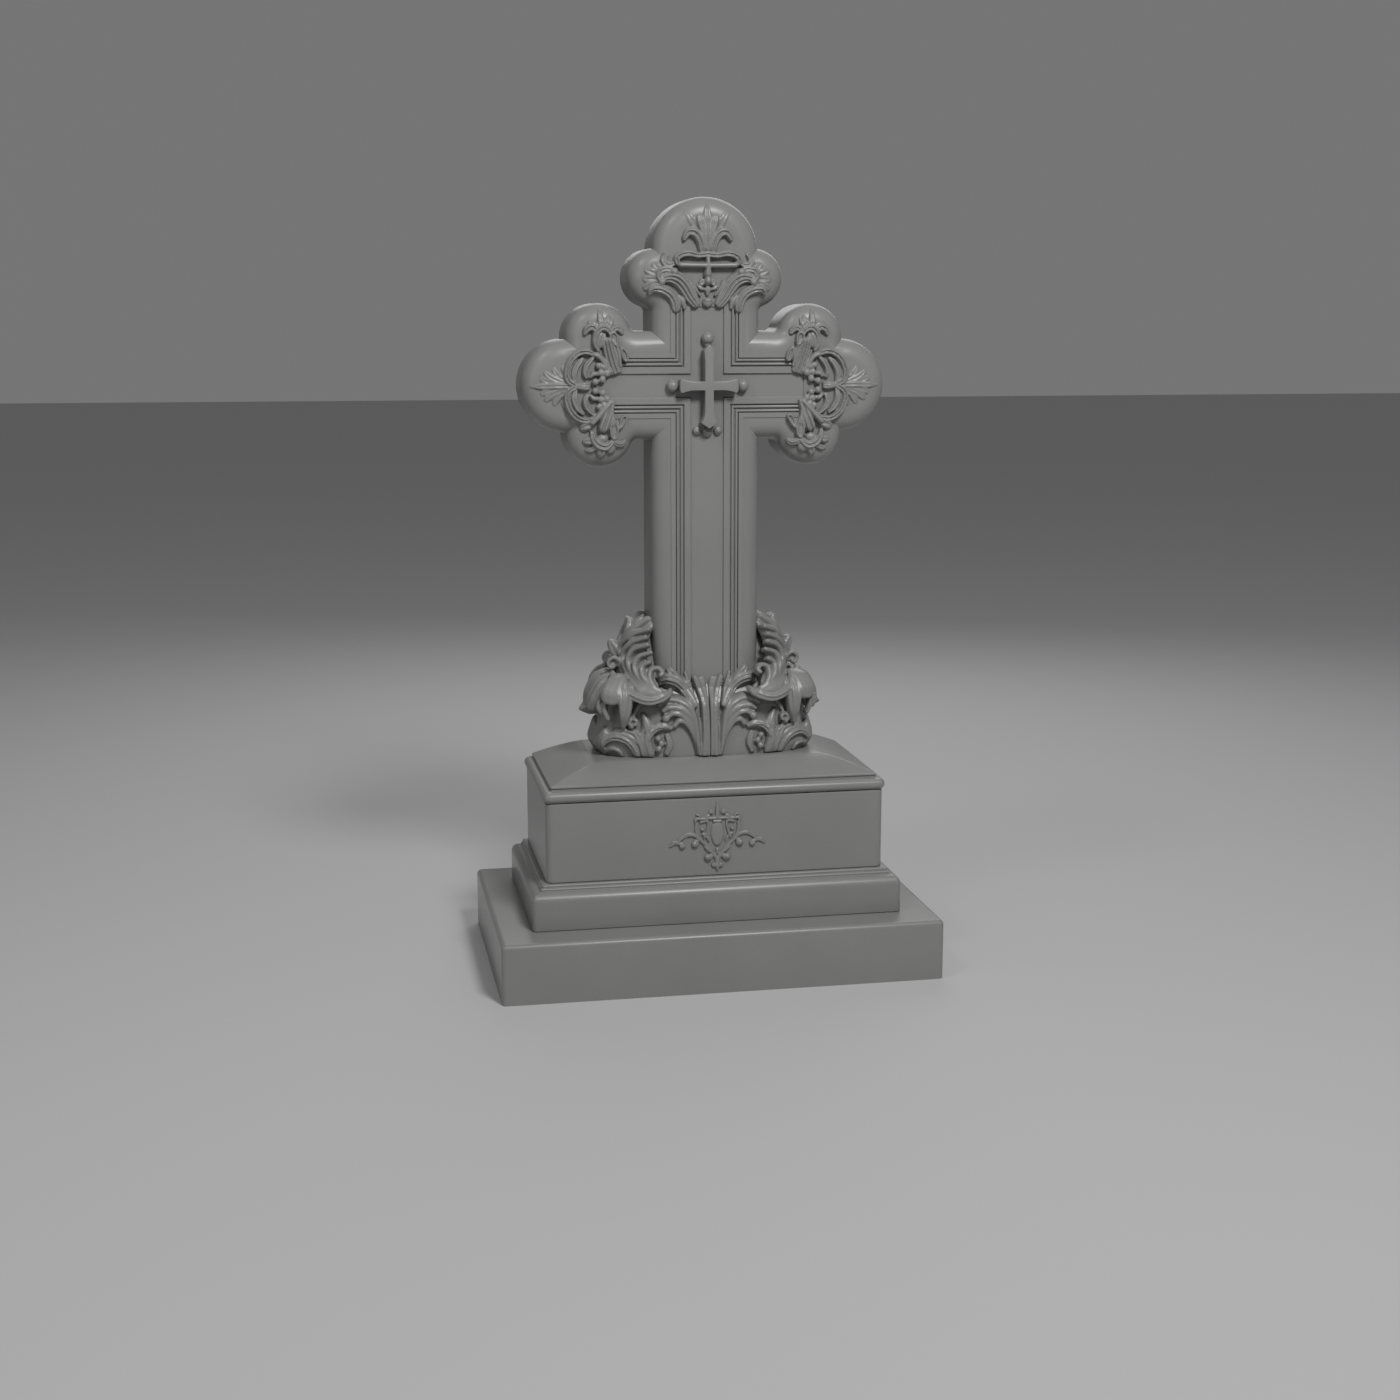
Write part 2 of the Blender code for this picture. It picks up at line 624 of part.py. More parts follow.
def carve_crown(shapes, ground):
    """The carved head of the cross, about the centre of its top lobe."""
    for turn in (1, -1):
        panel = Panel(shapes, ground, (0, crown_z), CROWN_RADIUS, turn)
        panel.leaf([(0.05, -0.05), (0.10, 0.25), (0.17, 0.63)], (0.05, 0.08, 0.02),
                   (0.08, 0.10, 0.02), 3)
        panel.leaf([(0.11, -0.04), (0.17, 0.24), (0.29, 0.37), (0.42, 0.32), (0.44, 0.16)],
                   (0.06, 0.07, 0.05), (0.10, 0.12, 0.06), 6)
        panel.leaf([(0.0, -0.04), (0.42, 0.0), (0.62, -0.14)], (0.05, 0.06, 0.05),
                   (0.12, 0.13, 0.10), 4)
        panel.leaf([(0.0, -0.23), (0.30, -0.22), (0.55, -0.22)], (0.07, 0.07, 0.06),
                   (0.12, 0.13, 0.10), 2)
        panel.leaf([(0.93, -0.50), (0.72, -0.40), (0.50, -0.55), (0.34, -0.80), (0.17, -1.02)],
                   (0.05, 0.12, 0.08), (0.06, 0.14, 0.10), 6, 4)
        panel.leaf([(1.12, -0.86), (0.97, -0.68), (0.77, -0.72), (0.66, -0.92), (0.62, -1.10)],
                   (0.03, 0.09, 0.08), (0.05, 0.14, 0.12), 5)
        for tip in ((1.24, -0.28), (1.06, -0.12), (0.78, -0.06), (1.26, -0.62)):
            middle = (0.5 * (0.66 + tip[0]), 0.5 * (-0.36 + tip[1]) + 0.05)
            panel.leaf([(0.66, -0.36), middle, tip], (0.05, 0.10, 0.03), (0.07, 0.09, 0.03), 2)
        panel.ball(0.64, -0.36, 0.075)
    middle = Panel(shapes, ground, (0, crown_z), CROWN_RADIUS)
    middle.leaf([(0, -0.05), (0, 0.35), (0, 0.88)], (0.06, 0.10, 0.02), (0.13, 0.12, 0.02), 3)
    middle.leaf([(0, -0.05), (0, -0.40), (0, -0.72)], (0.05, 0.08, 0.04), (0.14, 0.13, 0.06), 3)
    middle.leaf([(0, -0.80), (0, -1.02)], (0.10, 0.11, 0.06), (0.06, 0.09, 0.06), 2)


def carve_arm_end(shapes, ground, side):
    """The carved end of one arm: palmette, framing scrolls and a bud in each side lobe."""
    palmette = Panel(shapes, ground, (tip_x, arm_z), TIP_RADIUS, side)
    root = (-0.18, 0)
    palmette.leaf([root, (0.3, 0), (0.86, 0)], (0.06, 0.10, 0.02), (0.14, 0.11, 0.02), 3)
    for flip in (1, -1):
        half = Panel(shapes, ground, (tip_x, arm_z), TIP_RADIUS, side, flip)
        for angle, reach in ((18, 0.84), (34, 0.74), (52, 0.64)):
            a = math.radians(angle)
            tip = (root[0] + reach * math.cos(a), reach * math.sin(a))
            middle = (root[0] + 0.55 * reach * math.cos(a), 0.42 * reach * math.sin(a))
            half.leaf([root, middle, tip], (0.05, 0.09, 0.03), (0.11, 0.10, 0.03), 2)
        half.leaf([(-0.16, 0.0), (0.01, 0.26), (-0.04, 0.58), (-0.24, 0.75), (-0.50, 0.68),
                   (-0.88, 0.32)], (0.06, 0.075, 0.06), (0.14, 0.15, 0.12), 7)
        half.leaf([(-0.48, 0.56), (-0.30, 0.46), (-0.22, 0.22)], (0.05, 0.12, 0.05),
                  (0.08, 0.12, 0.08), 2)
        half.ball(-0.50, 0.12, 0.11)
        half.ball(-0.72, 0.30, 0.10)
        lobe = (side_x, arm_z + flip * SIDE_OFFSET)
        carve_bud(Panel(shapes, ground, lobe, SIDE_RADIUS, side, flip))


def carve_bud(bud):
    """A bud in a side lobe, drawn as the upper one of a pair."""
    bud.leaf([(0.0, 0.15), (0.03, 0.50), (0.03, 0.88)], (0.12, 0.15, 0.03), (0.15, 0.14, 0.03), 2)
    bud.leaf([(-0.05, 0.15), (-0.22, 0.42), (-0.34, 0.64)], (0.10, 0.13, 0.03),
             (0.12, 0.12, 0.03), 2)
    bud.leaf([(0.10, 0.18), (0.38, 0.36), (0.60, 0.06)], (0.09, 0.10, 0.04),
             (0.14, 0.14, 0.05), 4)
    bud.leaf([(-0.12, 0.10), (-0.42, 0.30), (-0.68, 0.10)], (0.08, 0.11, 0.05),
             (0.12, 0.12, 0.05), 2)
    for spread in (0.2, 1.7):
        foot = (-0.20 - 0.22 * spread, -0.98)
        head = (0.10 - 0.36 * spread, -0.05 - 0.15 * spread)
        middle = (0.5 * (foot[0] + head[0]) + 0.08, -0.5)
        bud.leaf([foot, middle, head], (0.10, 0.12, 0.13), (0.08, 0.13, 0.16), 2)


# leaves round the foot

def foot_core():
    """The mass behind the leaves, as rings from the cap up to its top inside the shaft."""
    bm = bmesh.new()
    half_x, half_y = FOOT_WIDTH / 2, FOOT_DEPTH / 2
    sections = ((-0.05, 0.93, 1.0), (0.09, 1.05, 1.0), (0.22, 1.0, 0.97), (0.38, 0.95, 0.92),
                (0.45, 0.90, 0.80), (0.55, 0.80, 0.72), (0.75, 0.68, 0.70), (0.95, 0.57, 0.56),
                (1.0, 0.46, 0.46))
    rings = []
    for rise, wide, deep in sections:
        ring = []
        for step in range(CORE_SIDES):
            a = 2 * math.pi * (step + 0.5) / CORE_SIDES
            c, s = math.cos(a), math.sin(a)
            x = math.copysign(abs(c) ** 0.6, c) * wide * half_x
            y = math.copysign(abs(s) ** 0.6, s) * deep * half_y
            ring.append((x, y, cross_level + rise * FOOT_RISE))
        rings.append(ring)
    loft(bm, rings)
    bmesh.ops.recalc_face_normals(bm, faces=bm.faces)
    return bm


def carve_foot_side(panel, front):
    """The leaves of one side of the foot, the hidden face without its small scrolls."""
    panel.leaf([(0.045, -0.05), (0.09, 0.29), (0.26, 0.52), (0.45, 0.45)], (0.05, 0.085, 0.06),
               (0.08, 0.13, 0.07), 6)
    panel.leaf([(0.035, -0.05), (0.045, 0.34), (0.075, 0.60), (0.115, 0.71)], (0.04, 0.04, 0.03),
               (0.13, 0.13, 0.10), 4)
    panel.free_leaf([(0.34, 0.58, -0.40), (0.55, 0.68, -0.42), (0.66, 0.90, -0.36),
                     (0.64, 1.12, -0.26), (0.54, 1.28, -0.18)], (0.05, 0.15, 0.03),
                    (0.06, 0.08, 0.03), (0.6, -1, 0.1), 0.25, 8, 2, 0.45)
    panel.free_leaf([(0.74, 0.70, -0.26), (0.83, 0.58, -0.38), (0.83, 0.42, -0.44),
                     (0.77, 0.24, -0.47)], (0.10, 0.16, 0.03), (0.07, 0.10, 0.06),
                    (0.6, -1, 0.2), 0.20, 4)
    if front:
        panel.leaf([(0.055, -0.05), (0.11, 0.23), (0.23, 0.39), (0.39, 0.33)],
                   (0.05, 0.075, 0.05), (0.06, 0.11, 0.07), 5)
        panel.leaf([(0.07, -0.05), (0.12, 0.18), (0.19, 0.28), (0.30, 0.22)],
                   (0.04, 0.06, 0.04), (0.06, 0.09, 0.06), 4)
        panel.leaf([(0.06, 0.30), (0.14, 0.58), (0.235, 0.78)], (0.05, 0.07, 0.03),
                   (0.14, 0.14, 0.06), 3)
        panel.leaf([(0.05, 0.34), (0.16, 0.58), (0.29, 0.68), (0.36, 0.80)], (0.05, 0.07, 0.03),
                   (0.14, 0.16, 0.08))
        panel.leaf([(0.34, 0.60), (0.50, 0.56), (0.67, 0.62), (0.85, 0.74)], (0.04, 0.07, 0.03),
                   (0.12, 0.15, 0.08))
        panel.leaf([(0.56, -0.05), (0.66, 0.155), (0.63, 0.31), (0.57, 0.39)], (0.06, 0.09, 0.03),
                   (0.08, 0.12, 0.05))
        panel.leaf([(0.62, 0.10), (0.69, 0.20), (0.815, 0.24)], (0.04, 0.06, 0.02),
                   (0.06, 0.10, 0.04), 3)
        panel.leaf([(0.28, -0.05), (0.34, 0.15), (0.43, 0.21), (0.52, 0.14), (0.50, 0.03)],
                   (0.04, 0.055, 0.04), (0.06, 0.10, 0.06), 6)
        panel.leaf([(0.70, -0.05), (0.76, 0.12), (0.86, 0.13), (0.93, -0.02)],
                   (0.04, 0.045, 0.03), (0.06, 0.10, 0.05), 5)
        panel.ball(0.45, 0.09, 0.05)


def carve_foot_end(panel):
    """The hood that hangs out over each end of the foot, with a leaf and a knob above it."""
    panel.free_leaf([(0.66, 0.74, 0.0), (0.90, 0.60, 0.0), (1.03, 0.42, 0.0), (1.13, 0.30, 0.0)],
                    (0.18, 0.30, 0.22), (0.04, 0.05, 0.01), (1, 0, 0.6), 0.16)
    for depth in (-0.10, 0.10):
        panel.free_leaf([(0.70, 0.66, depth), (0.82, 0.86, depth), (0.88, 1.02, depth)],
                        (0.06, 0.07, 0.01), (0.03, 0.04, 0.01), (0.4, 10 * depth, 0), 0.06, 4, 2)
    x, _, z = panel.place(0.84, 0.80)
    panel.shapes.append(ball((x, -0.08 * panel.unit, z), 0.06 * panel.unit))


def carve_foot(body_front):
    core = foot_core()
    core_front = front_of(core, 0)

    def ground(x, z):
        return min(core_front(x, z), body_front(x, z))

    unit = FOOT_WIDTH / 2
    shapes, back = [core], []
    for turn in (1, -1):
        carve_foot_side(Panel(shapes, ground, (0, cross_level), unit, turn), True)
        carve_foot_side(Panel(back, ground, (0, cross_level), unit, turn), False)
        carve_foot_end(Panel(shapes, ground, (0, cross_level), unit, turn))
    for stems in (shapes, back):
        middle = Panel(stems, ground, (0, cross_level), unit)
        middle.leaf([(0, -0.05), (0, 0.20), (0, 0.46)], (0.04, 0.035, 0.02), (0.15, 0.15, 0.05), 3)
    for shape in back:
        bmesh.ops.scale(shape, vec=(1, -1, 1), verts=shape.verts)
    return shapes + back


def cap_bed():
    """What is cut away under the cross, so that it sits flat on its cap."""
    bm = bmesh.new()
    bmesh.ops.create_cube(bm, size=1)
    depth = 0.3 * FOOT_RISE
    bmesh.ops.scale(bm, vec=(1.5 * FOOT_WIDTH, 2 * FOOT_DEPTH, depth), verts=bm.verts)
    bmesh.ops.translate(bm, vec=(0, 0, cross_level - depth / 2), verts=bm.verts)
    return bm


def make_cross(material):
    body = cross_body()
    ground = front_of(body, flat_y)
    cross = new_object("cross", body, material)
    combine(cross, tool_object("frame_pocket", frame_pocket()), "DIFFERENCE")
    combine(cross, tool_object("frame", moulded_frame()), "UNION")
    join_leaves(cross, carve_foot(ground), "foot_carving")
    combine(cross, tool_object("cap_bed", cap_bed()), "DIFFERENCE", "MANIFOLD")
    head = carve_relief_cross()
    carve_crown(head, ground)
    for side in (1, -1):
        carve_arm_end(head, ground, side)
    join_leaves(cross, head, "head_carving")
    weld_slivers(cross)
    return cross


def main():
    clear_scene()
    grey = stone("grey_stone", 0.36, 0.42)
    make_slab(grey)
    make_course(grey)
    make_die(grey)
    make_cap(grey)
    make_cross(grey)


main()
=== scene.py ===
# The looks of a carved stone cross on its plinth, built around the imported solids.
# Metres, +Z up, X to the right as seen from the carved front. Strokes of carving are in millimetres.
import math

import bmesh
import bpy
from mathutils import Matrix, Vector
from mathutils.bvhtree import BVHTree


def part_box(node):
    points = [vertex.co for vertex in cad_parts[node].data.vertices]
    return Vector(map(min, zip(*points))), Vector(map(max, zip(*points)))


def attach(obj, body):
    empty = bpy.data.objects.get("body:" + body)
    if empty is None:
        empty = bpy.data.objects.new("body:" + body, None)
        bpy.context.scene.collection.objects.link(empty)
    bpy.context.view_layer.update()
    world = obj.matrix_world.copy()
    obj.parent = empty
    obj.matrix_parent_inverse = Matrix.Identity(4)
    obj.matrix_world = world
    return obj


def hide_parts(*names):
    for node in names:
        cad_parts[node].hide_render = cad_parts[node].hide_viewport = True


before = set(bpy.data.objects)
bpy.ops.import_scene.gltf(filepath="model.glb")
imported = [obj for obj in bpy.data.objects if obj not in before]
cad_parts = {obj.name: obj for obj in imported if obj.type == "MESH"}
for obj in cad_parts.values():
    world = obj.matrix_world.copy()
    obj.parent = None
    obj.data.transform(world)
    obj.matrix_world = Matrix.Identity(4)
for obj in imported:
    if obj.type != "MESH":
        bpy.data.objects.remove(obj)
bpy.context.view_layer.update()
mm = 0.001

slabLow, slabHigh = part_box("base_slab")
courseLow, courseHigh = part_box("plinth_course")
dieLow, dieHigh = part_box("die_block")
capLow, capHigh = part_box("cap_stone")
crossLow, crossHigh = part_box("cross")
bedZ = crossLow.z  # where the cross stands on its cap


# camera: the photograph's place and lens

camera = dict(place=(-0.7812, -4.0239, 1.3203), turn=-10.98, tilt=10.76, lens=51.43)


def addObject(name, data):
    made = bpy.data.objects.new(name, data)
    bpy.context.scene.collection.objects.link(made)
    return made


def placeCamera():
    turn, tilt = math.radians(camera["turn"]), math.radians(camera["tilt"])
    back = Vector((math.sin(turn) * math.cos(tilt), -math.cos(turn) * math.cos(tilt), math.sin(tilt)))
    eye = addObject("camera", bpy.data.cameras.new("camera"))
    eye.location = camera["place"]
    eye.rotation_euler = back.to_track_quat("Z", "Y").to_euler()
    eye.data.lens = camera["lens"]
    bpy.context.scene.camera = eye


# stone: a fine-grained grey, honed by the carver

honed = dict(grey=0.20, blueShare=0.985, cloud=0.10, grain=0.14, roughness=0.33, roughSpread=0.10,
             cloudScale=5.0, grainScale=900.0, pitScale=260.0, waveScale=40.0, pitDepth=0.10,
             waveDepth=0.05, bump=0.25, bumpDepth=0.0006)


# A socket that adds its own maths nodes.
class Wire:
    def __init__(self, paint, socket):
        self.paint, self.socket = paint, socket

    def maths(self, operation, first, second):
        return self.paint.add("ShaderNodeMath", dict(operation=operation), {0: first, 1: second})

    def __add__(self, other):
        return self.maths("ADD", self, other)

    def __sub__(self, other):
        return self.maths("SUBTRACT", self, other)

    def __mul__(self, other):
        return self.maths("MULTIPLY", self, other)

    __radd__ = __add__
    __rmul__ = __mul__


# A material whose nodes are added one by one.
class Paint:
    def __init__(self, name):
        self.material = bpy.data.materials.new(name)
        self.material.use_nodes = True
        self.tree = self.material.node_tree
        self.shader = self.tree.nodes["Principled BSDF"]

    def add(self, kind, settings, inputs, output=0):
        node = self.tree.nodes.new(kind)
        for name, value in settings.items():
            setattr(node, name, value)
        self.feed(node, inputs)
        return Wire(self, node.outputs[output])

    def feed(self, node, inputs):
        for key, value in inputs.items():
            if isinstance(value, Wire):
                self.tree.links.new(value.socket, node.inputs[key])
            else:
                node.inputs[key].default_value = value


def makeStone():
    paint = Paint("greyStone")
    place = paint.add("ShaderNodeTexCoord", {}, {}, "Object")

    def noise(scale, detail, roughness=0.5):
        return paint.add("ShaderNodeTexNoise", {}, {"Vector": place, "Scale": scale, "Detail": detail,
                                                    "Roughness": roughness}, "Fac")

    cloud = noise(honed["cloudScale"], 4.0)
    grain = noise(honed["grainScale"], 2.0, 0.6)
    pits = noise(honed["pitScale"], 3.0, 0.6)
    tone = honed["grey"] * (1 + (cloud - 0.5) * (2 * honed["cloud"]) + (grain - 0.5) * (2 * honed["grain"]))
    colour = paint.add("ShaderNodeCombineColor", {}, {0: tone, 1: tone, 2: tone * honed["blueShare"]})
    rough = honed["roughness"] + (pits - 0.5) * honed["roughSpread"] + (cloud - 0.5) * honed["roughSpread"]
    height = pits * honed["pitDepth"] + noise(honed["waveScale"], 2.0) * honed["waveDepth"]
    bump = paint.add("ShaderNodeBump", {}, {"Height": height, "Strength": honed["bump"],
                                            "Distance": honed["bumpDepth"]})
    paint.feed(paint.shader, {"Base Color": colour, "Roughness": rough, "Normal": bump,
                              "IOR": 1.5, "Metallic": 0.0})
    return paint.material


# meshes

# Turns the faces of a closed mesh outward.
def turnOutward(bm):
    bmesh.ops.recalc_face_normals(bm, faces=bm.faces)
    if bm.calc_volume(signed=True) < 0:
        bmesh.ops.reverse_faces(bm, faces=bm.faces)


# A closed mesh as a finished piece that stands for a solid. Edges sharper than the crease, in
# degrees, stay sharp.
def finishPiece(name, bm, node, crease=32.0):
    turnOutward(bm)
    for face in bm.faces:
        face.smooth = True
    limit = math.radians(crease)
    for edge in bm.edges:
        edge.smooth = len(edge.link_faces) == 2 and edge.calc_face_angle() < limit
    piece = meshObject(name, bm)
    settle(piece, node)
    return piece


def meshObject(name, bm):
    mesh = bpy.data.meshes.new(name)
    bm.to_mesh(mesh)
    bm.free()
    return addObject(name, mesh)


def settle(piece, node):
    piece.data.materials.clear()
    piece.data.materials.append(greyStone)
    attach(piece, "root")
    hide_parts(node)


# Replaces a piece's mesh by what its modifiers make of it.
def applyModifiers(piece):
    bpy.context.view_layer.update()
    shaped = bpy.data.meshes.new_from_object(piece.evaluated_get(bpy.context.evaluated_depsgraph_get()))
    piece.modifiers.clear()
    old = piece.data
    piece.data = shaped
    shaped.name = piece.name
    bpy.data.meshes.remove(old)


def arcPoints(centre, radius, start, end, steps):
    turns = [math.radians(start + (end - start) * i / steps) for i in range(steps + 1)]
    return [(centre[0] + radius * math.cos(a), centre[1] + radius * math.sin(a)) for a in turns]


def roundedRing(halfX, halfY, radius, z, steps=8):
    points = []
    for signX, signY, start in ((1, 1, 0), (-1, 1, 90), (-1, -1, 180), (1, -1, 270)):
        centre = (signX * (halfX - radius), signY * (halfY - radius))
        points += arcPoints(centre, radius, start, start + 90, steps)
    return [Vector((x, y, z)) for x, y in points]


# Extrudes a face where it is and returns the new one.
def extruded(bm, face):
    grown = bmesh.ops.extrude_face_region(bm, geom=[face])["geom"]
    return next(g for g in grown if isinstance(g, bmesh.types.BMFace))


# A face drawn up through rings of points, one extrusion for each.
def pullRings(rings):
    bm = bmesh.new()
    face = bm.faces.new([bm.verts.new(point) for point in rings[0]])
    for ring in rings[1:]:
        face = extruded(bm, face)
        for vertex, point in zip(face.verts, ring):
            vertex.co = point
    return bm


# Rounds the edge of a face over, by insets that follow a quarter of an ellipse.
def roundOver(bm, face, width, rise, steps):
    inset, depth = 0.0, 0.0
    for step in range(1, steps + 1):
        a = math.pi / 2 * step / steps
        nextInset, nextDepth = width * (1 - math.cos(a)), rise * math.sin(a)
        bmesh.ops.inset_region(bm, faces=[face], thickness=nextInset - inset, depth=nextDepth - depth,
                               use_even_offset=True)
        inset, depth = nextInset, nextDepth


# A stone of the plinth: insets and heights up its side, then any rings of its top. Its corners
# grow tighter with the inset, and keep at least the given share of their radius.
def stoneBlock(name, node, profile, halfX, halfY, corner, extra=(), leastCorner=0.3):
    rings = [roundedRing(halfX - inset, halfY - inset, max(corner - inset, leastCorner * corner), z)
             for inset, z in profile]
    rings += [roundedRing(*ring) for ring in extra]
    return finishPiece(name, pullRings(rings), node)


# plinth

slab = dict(round=0.010, steps=8)
course = dict(round=0.0175, roundSteps=12, corner=0.010, roll=0.00325, rolls=2, rollInset=0.0052,
              rollStep=0.0033, foot=0.0015,
              undercut=-30)  # where the rolls begin, in degrees below their middle
die = dict(corner=0.015, arris=0.0015)
cap = dict(overhang=0.0060, roll=0.0115, rollSteps=14, groove=0.0040, grooveDepth=0.8, grooveRound=0.3,
           fillet=0.0030, filletSteps=6, filletProud=0.0015, corner=0.015, slopeX=0.110, slopeY=0.060,
           soft=8, ease=1.35, topCorner=0.004)


def halfRoll(inset, z, radius, steps=10, start=-90):
    return [(inset - x, y) for x, y in arcPoints((0, z + radius), radius, start, 90, steps)]


def makeSlab():
    bm = bmesh.new()
    size = slabHigh - slabLow
    bmesh.ops.create_cube(bm, size=1)
    bmesh.ops.scale(bm, vec=size, verts=bm.verts)
    bmesh.ops.translate(bm, vec=(slabLow + slabHigh) / 2, verts=bm.verts)
    upper = [e for e in bm.edges if max(v.co.z for v in e.verts) > size.z / 2]
    bmesh.ops.bevel(bm, geom=upper, offset=slab["round"], segments=slab["steps"], profile=0.5,
                    affect="EDGES", material=-1)
    finishPiece("slabStone", bm, "base_slab")


def makeCourse():
    low, high = courseLow.z, courseHigh.z
    shoulder = high - 4 * course["roll"] - course["round"]
    profile = [(course["foot"], low), (0, low + course["foot"])]
    profile += arcPoints((course["round"], shoulder), course["round"], 180, 90, course["roundSteps"])
    inset = course["round"] + course["rollInset"]
    rollZ = shoulder + course["round"]
    for i in range(course["rolls"]):
        profile += halfRoll(inset + i * course["rollStep"], rollZ + 2 * i * course["roll"],
                            course["roll"], start=course["undercut"])
    stoneBlock("courseStone", "plinth_course", profile, courseHigh.x, courseHigh.y, course["corner"])


def makeDie():
    arris = die["arris"]
    profile = [(arris, dieLow.z), (0, dieLow.z + arris), (0, dieHigh.z - arris), (arris, dieHigh.z)]
    stoneBlock("dieStone", "die_block", profile, dieHigh.x, dieHigh.y, die["corner"])


def makeCap():
    low, high = capLow.z, capHigh.z
    halfX, halfY = capHigh.x, capHigh.y
    grooveZ = low + 2 * cap["roll"]
    arrisZ = grooveZ + cap["groove"]
    eavesZ = arrisZ + 2 * cap["fillet"]
    profile = halfRoll(cap["roll"], low, cap["roll"], cap["rollSteps"])
    back = cap["roll"] + cap["overhang"] * cap["grooveDepth"]
    easing = cap["grooveRound"] * cap["groove"]
    profile += [(back, grooveZ + easing), (back, arrisZ - easing)]
    arrisIn = cap["roll"] + cap["overhang"] + cap["fillet"] - cap["filletProud"]
    profile += halfRoll(arrisIn, arrisZ, cap["fillet"], cap["filletSteps"])
    eavesIn = profile[-1][0]
    extra = []
    for step in range(1, cap["soft"] + 1):  # a low hipped top that eases into its flat bed
        share = step / cap["soft"]
        rise = 1 - (1 - share) ** cap["ease"]
        extra.append((halfX - eavesIn - share * cap["slopeX"], halfY - eavesIn - share * cap["slopeY"],
                      cap["topCorner"], eavesZ + rise * (high - eavesZ)))
    stoneBlock("capStone", "cap_stone", profile, halfX, halfY, cap["corner"], extra)


# cross: its outline and its rounded edges

cross = dict(thickness=0.148, halfShaft=0.1103, halfArm=0.10725, armLevel=0.7465, armSpan=0.740,
             tip=0.0916, side=0.0675, sideOffset=0.0932, sideInset=0.0640,
             crown=0.1073, cheek=0.0575, cheekOffset=0.0995, cheekDrop=0.0495,
             fillet=0.012, edgeInset=0.037, edgeDepth=0.034, step=0.0015, hidden=0.020,
             lobeSteps=44, filletSteps=8, edgeSteps=12)
armZ = bedZ + cross["armLevel"]
tipX = cross["armSpan"] / 2 - cross["tip"]
sideX = tipX - cross["sideInset"]
crownZ = crossHigh.z - cross["crown"]
frontY = -cross["thickness"] / 2
flatY = frontY + cross["step"] + cross["edgeDepth"]


# Where two circles cross, on the left of the way from the first to the second.
def circlesMeet(first, firstRadius, second, secondRadius):
    gap = Vector(second) - Vector(first)
    along = (gap.length ** 2 + firstRadius ** 2 - secondRadius ** 2) / (2 * gap.length)
    unit = gap.normalized()
    across = math.sqrt(firstRadius ** 2 - along ** 2)
    return Vector(first) + unit * along + Vector((-unit.y, unit.x)) * across


def angleAt(centre, point):
    return math.degrees(math.atan2(point[1] - centre[1], point[0] - centre[0]))


# A lobe that grows out of a straight edge below it, by way of a fillet.
def lobeFromEdge(edge, centre, radius, notch):
    fillet = cross["fillet"]
    drop = edge + fillet - centre[1]
    middle = (centre[0] - math.sqrt((radius + fillet) ** 2 - drop ** 2), edge + fillet)
    turn = angleAt(middle, centre)
    points = arcPoints(middle, fillet, -90, turn, cross["filletSteps"])
    start, end = turn + 180, angleAt(centre, notch)
    steps = round(cross["lobeSteps"] * (start - end) / 180)
    return points + arcPoints(centre, radius, start, end, steps)[1:]


# The whole outline in X and Z, counter-clockwise from the foot.
def crossOutline():
    side, tip = (sideX, cross["sideOffset"]), (tipX, 0)
    notch = circlesMeet(side, cross["side"], tip, cross["tip"])
    quarter = [(cross["halfShaft"], cross["halfArm"])]
    quarter += lobeFromEdge(cross["halfArm"], side, cross["side"], notch)
    quarter += arcPoints(tip, cross["tip"], angleAt(tip, notch), 0, cross["lobeSteps"] // 2)[1:]
    cheek, crown = (cross["cheekOffset"], -cross["cheekDrop"]), (0, 0)
    top = circlesMeet(crown, cross["crown"], cheek, cross["cheek"])
    flipped = lobeFromEdge(cross["halfShaft"], (cheek[1], cheek[0]), cross["cheek"], (top[1], top[0]))
    head = [(y, x) for x, y in flipped]
    head += arcPoints(crown, cross["crown"], angleAt(crown, top), 90, cross["lobeSteps"] // 2)[1:]
    right = [(cross["halfShaft"], bedZ + cross["hidden"])]
    right += [(x, armZ - z) for x, z in quarter[:-1]] + [(x, armZ + z) for x, z in reversed(quarter)]
    right += [(x, crownZ + z) for x, z in head]
    return right + [(-x, z) for x, z in reversed(right[:-1])]


# The cross without its carving: straight edges first, then rounded step by step.
def crossBlank():
    bm = bmesh.new()
    front = bm.faces.new([bm.verts.new((x, flatY, z)) for x, z in crossOutline()])
    back = extruded(bm, front)
    bmesh.ops.translate(bm, vec=(0, -2 * flatY, 0), verts=back.verts)
    bmesh.ops.recalc_face_normals(bm, faces=bm.faces)
    for face in (front, back):
        roundOver(bm, face, cross["edgeInset"], cross["edgeDepth"], cross["edgeSteps"])
    return bm


# mouldings: a frame of beads and fillets round a sunk band

mouldings = dict(half=0.0737, halfArm=0.0637, fillet=0.0095, bead=0.0055, beads=2, beadSteps=8,
                 beadFull=0.7, groove=0.0025, firstGroove=0.6, arris=0.0008, width=0.041, sunkBand=0.004,
                 sunkGroove=0.0045, depth=0.022, pocket=0.012, margin=0.002, thinnest=1e-5)
frameX = tipX - 0.85 * cross["tip"]  # where the frame is cut square on an arm
frameLow, frameHigh = bedZ + 0.097, crownZ - 0.98 * cross["crown"]  # and on the upright
blankLow, blankHigh = bedZ + 0.05, crownZ + 0.02  # how far it is drawn before that


def plusOutline(halfUpright, halfBar, out):
    right = [(halfUpright, blankLow), (halfUpright, armZ - halfBar), (out, armZ - halfBar),
             (out, armZ + halfBar), (halfUpright, armZ + halfBar), (halfUpright, blankHigh)]
    return right + [(-x, z) for x, z in reversed(right)]


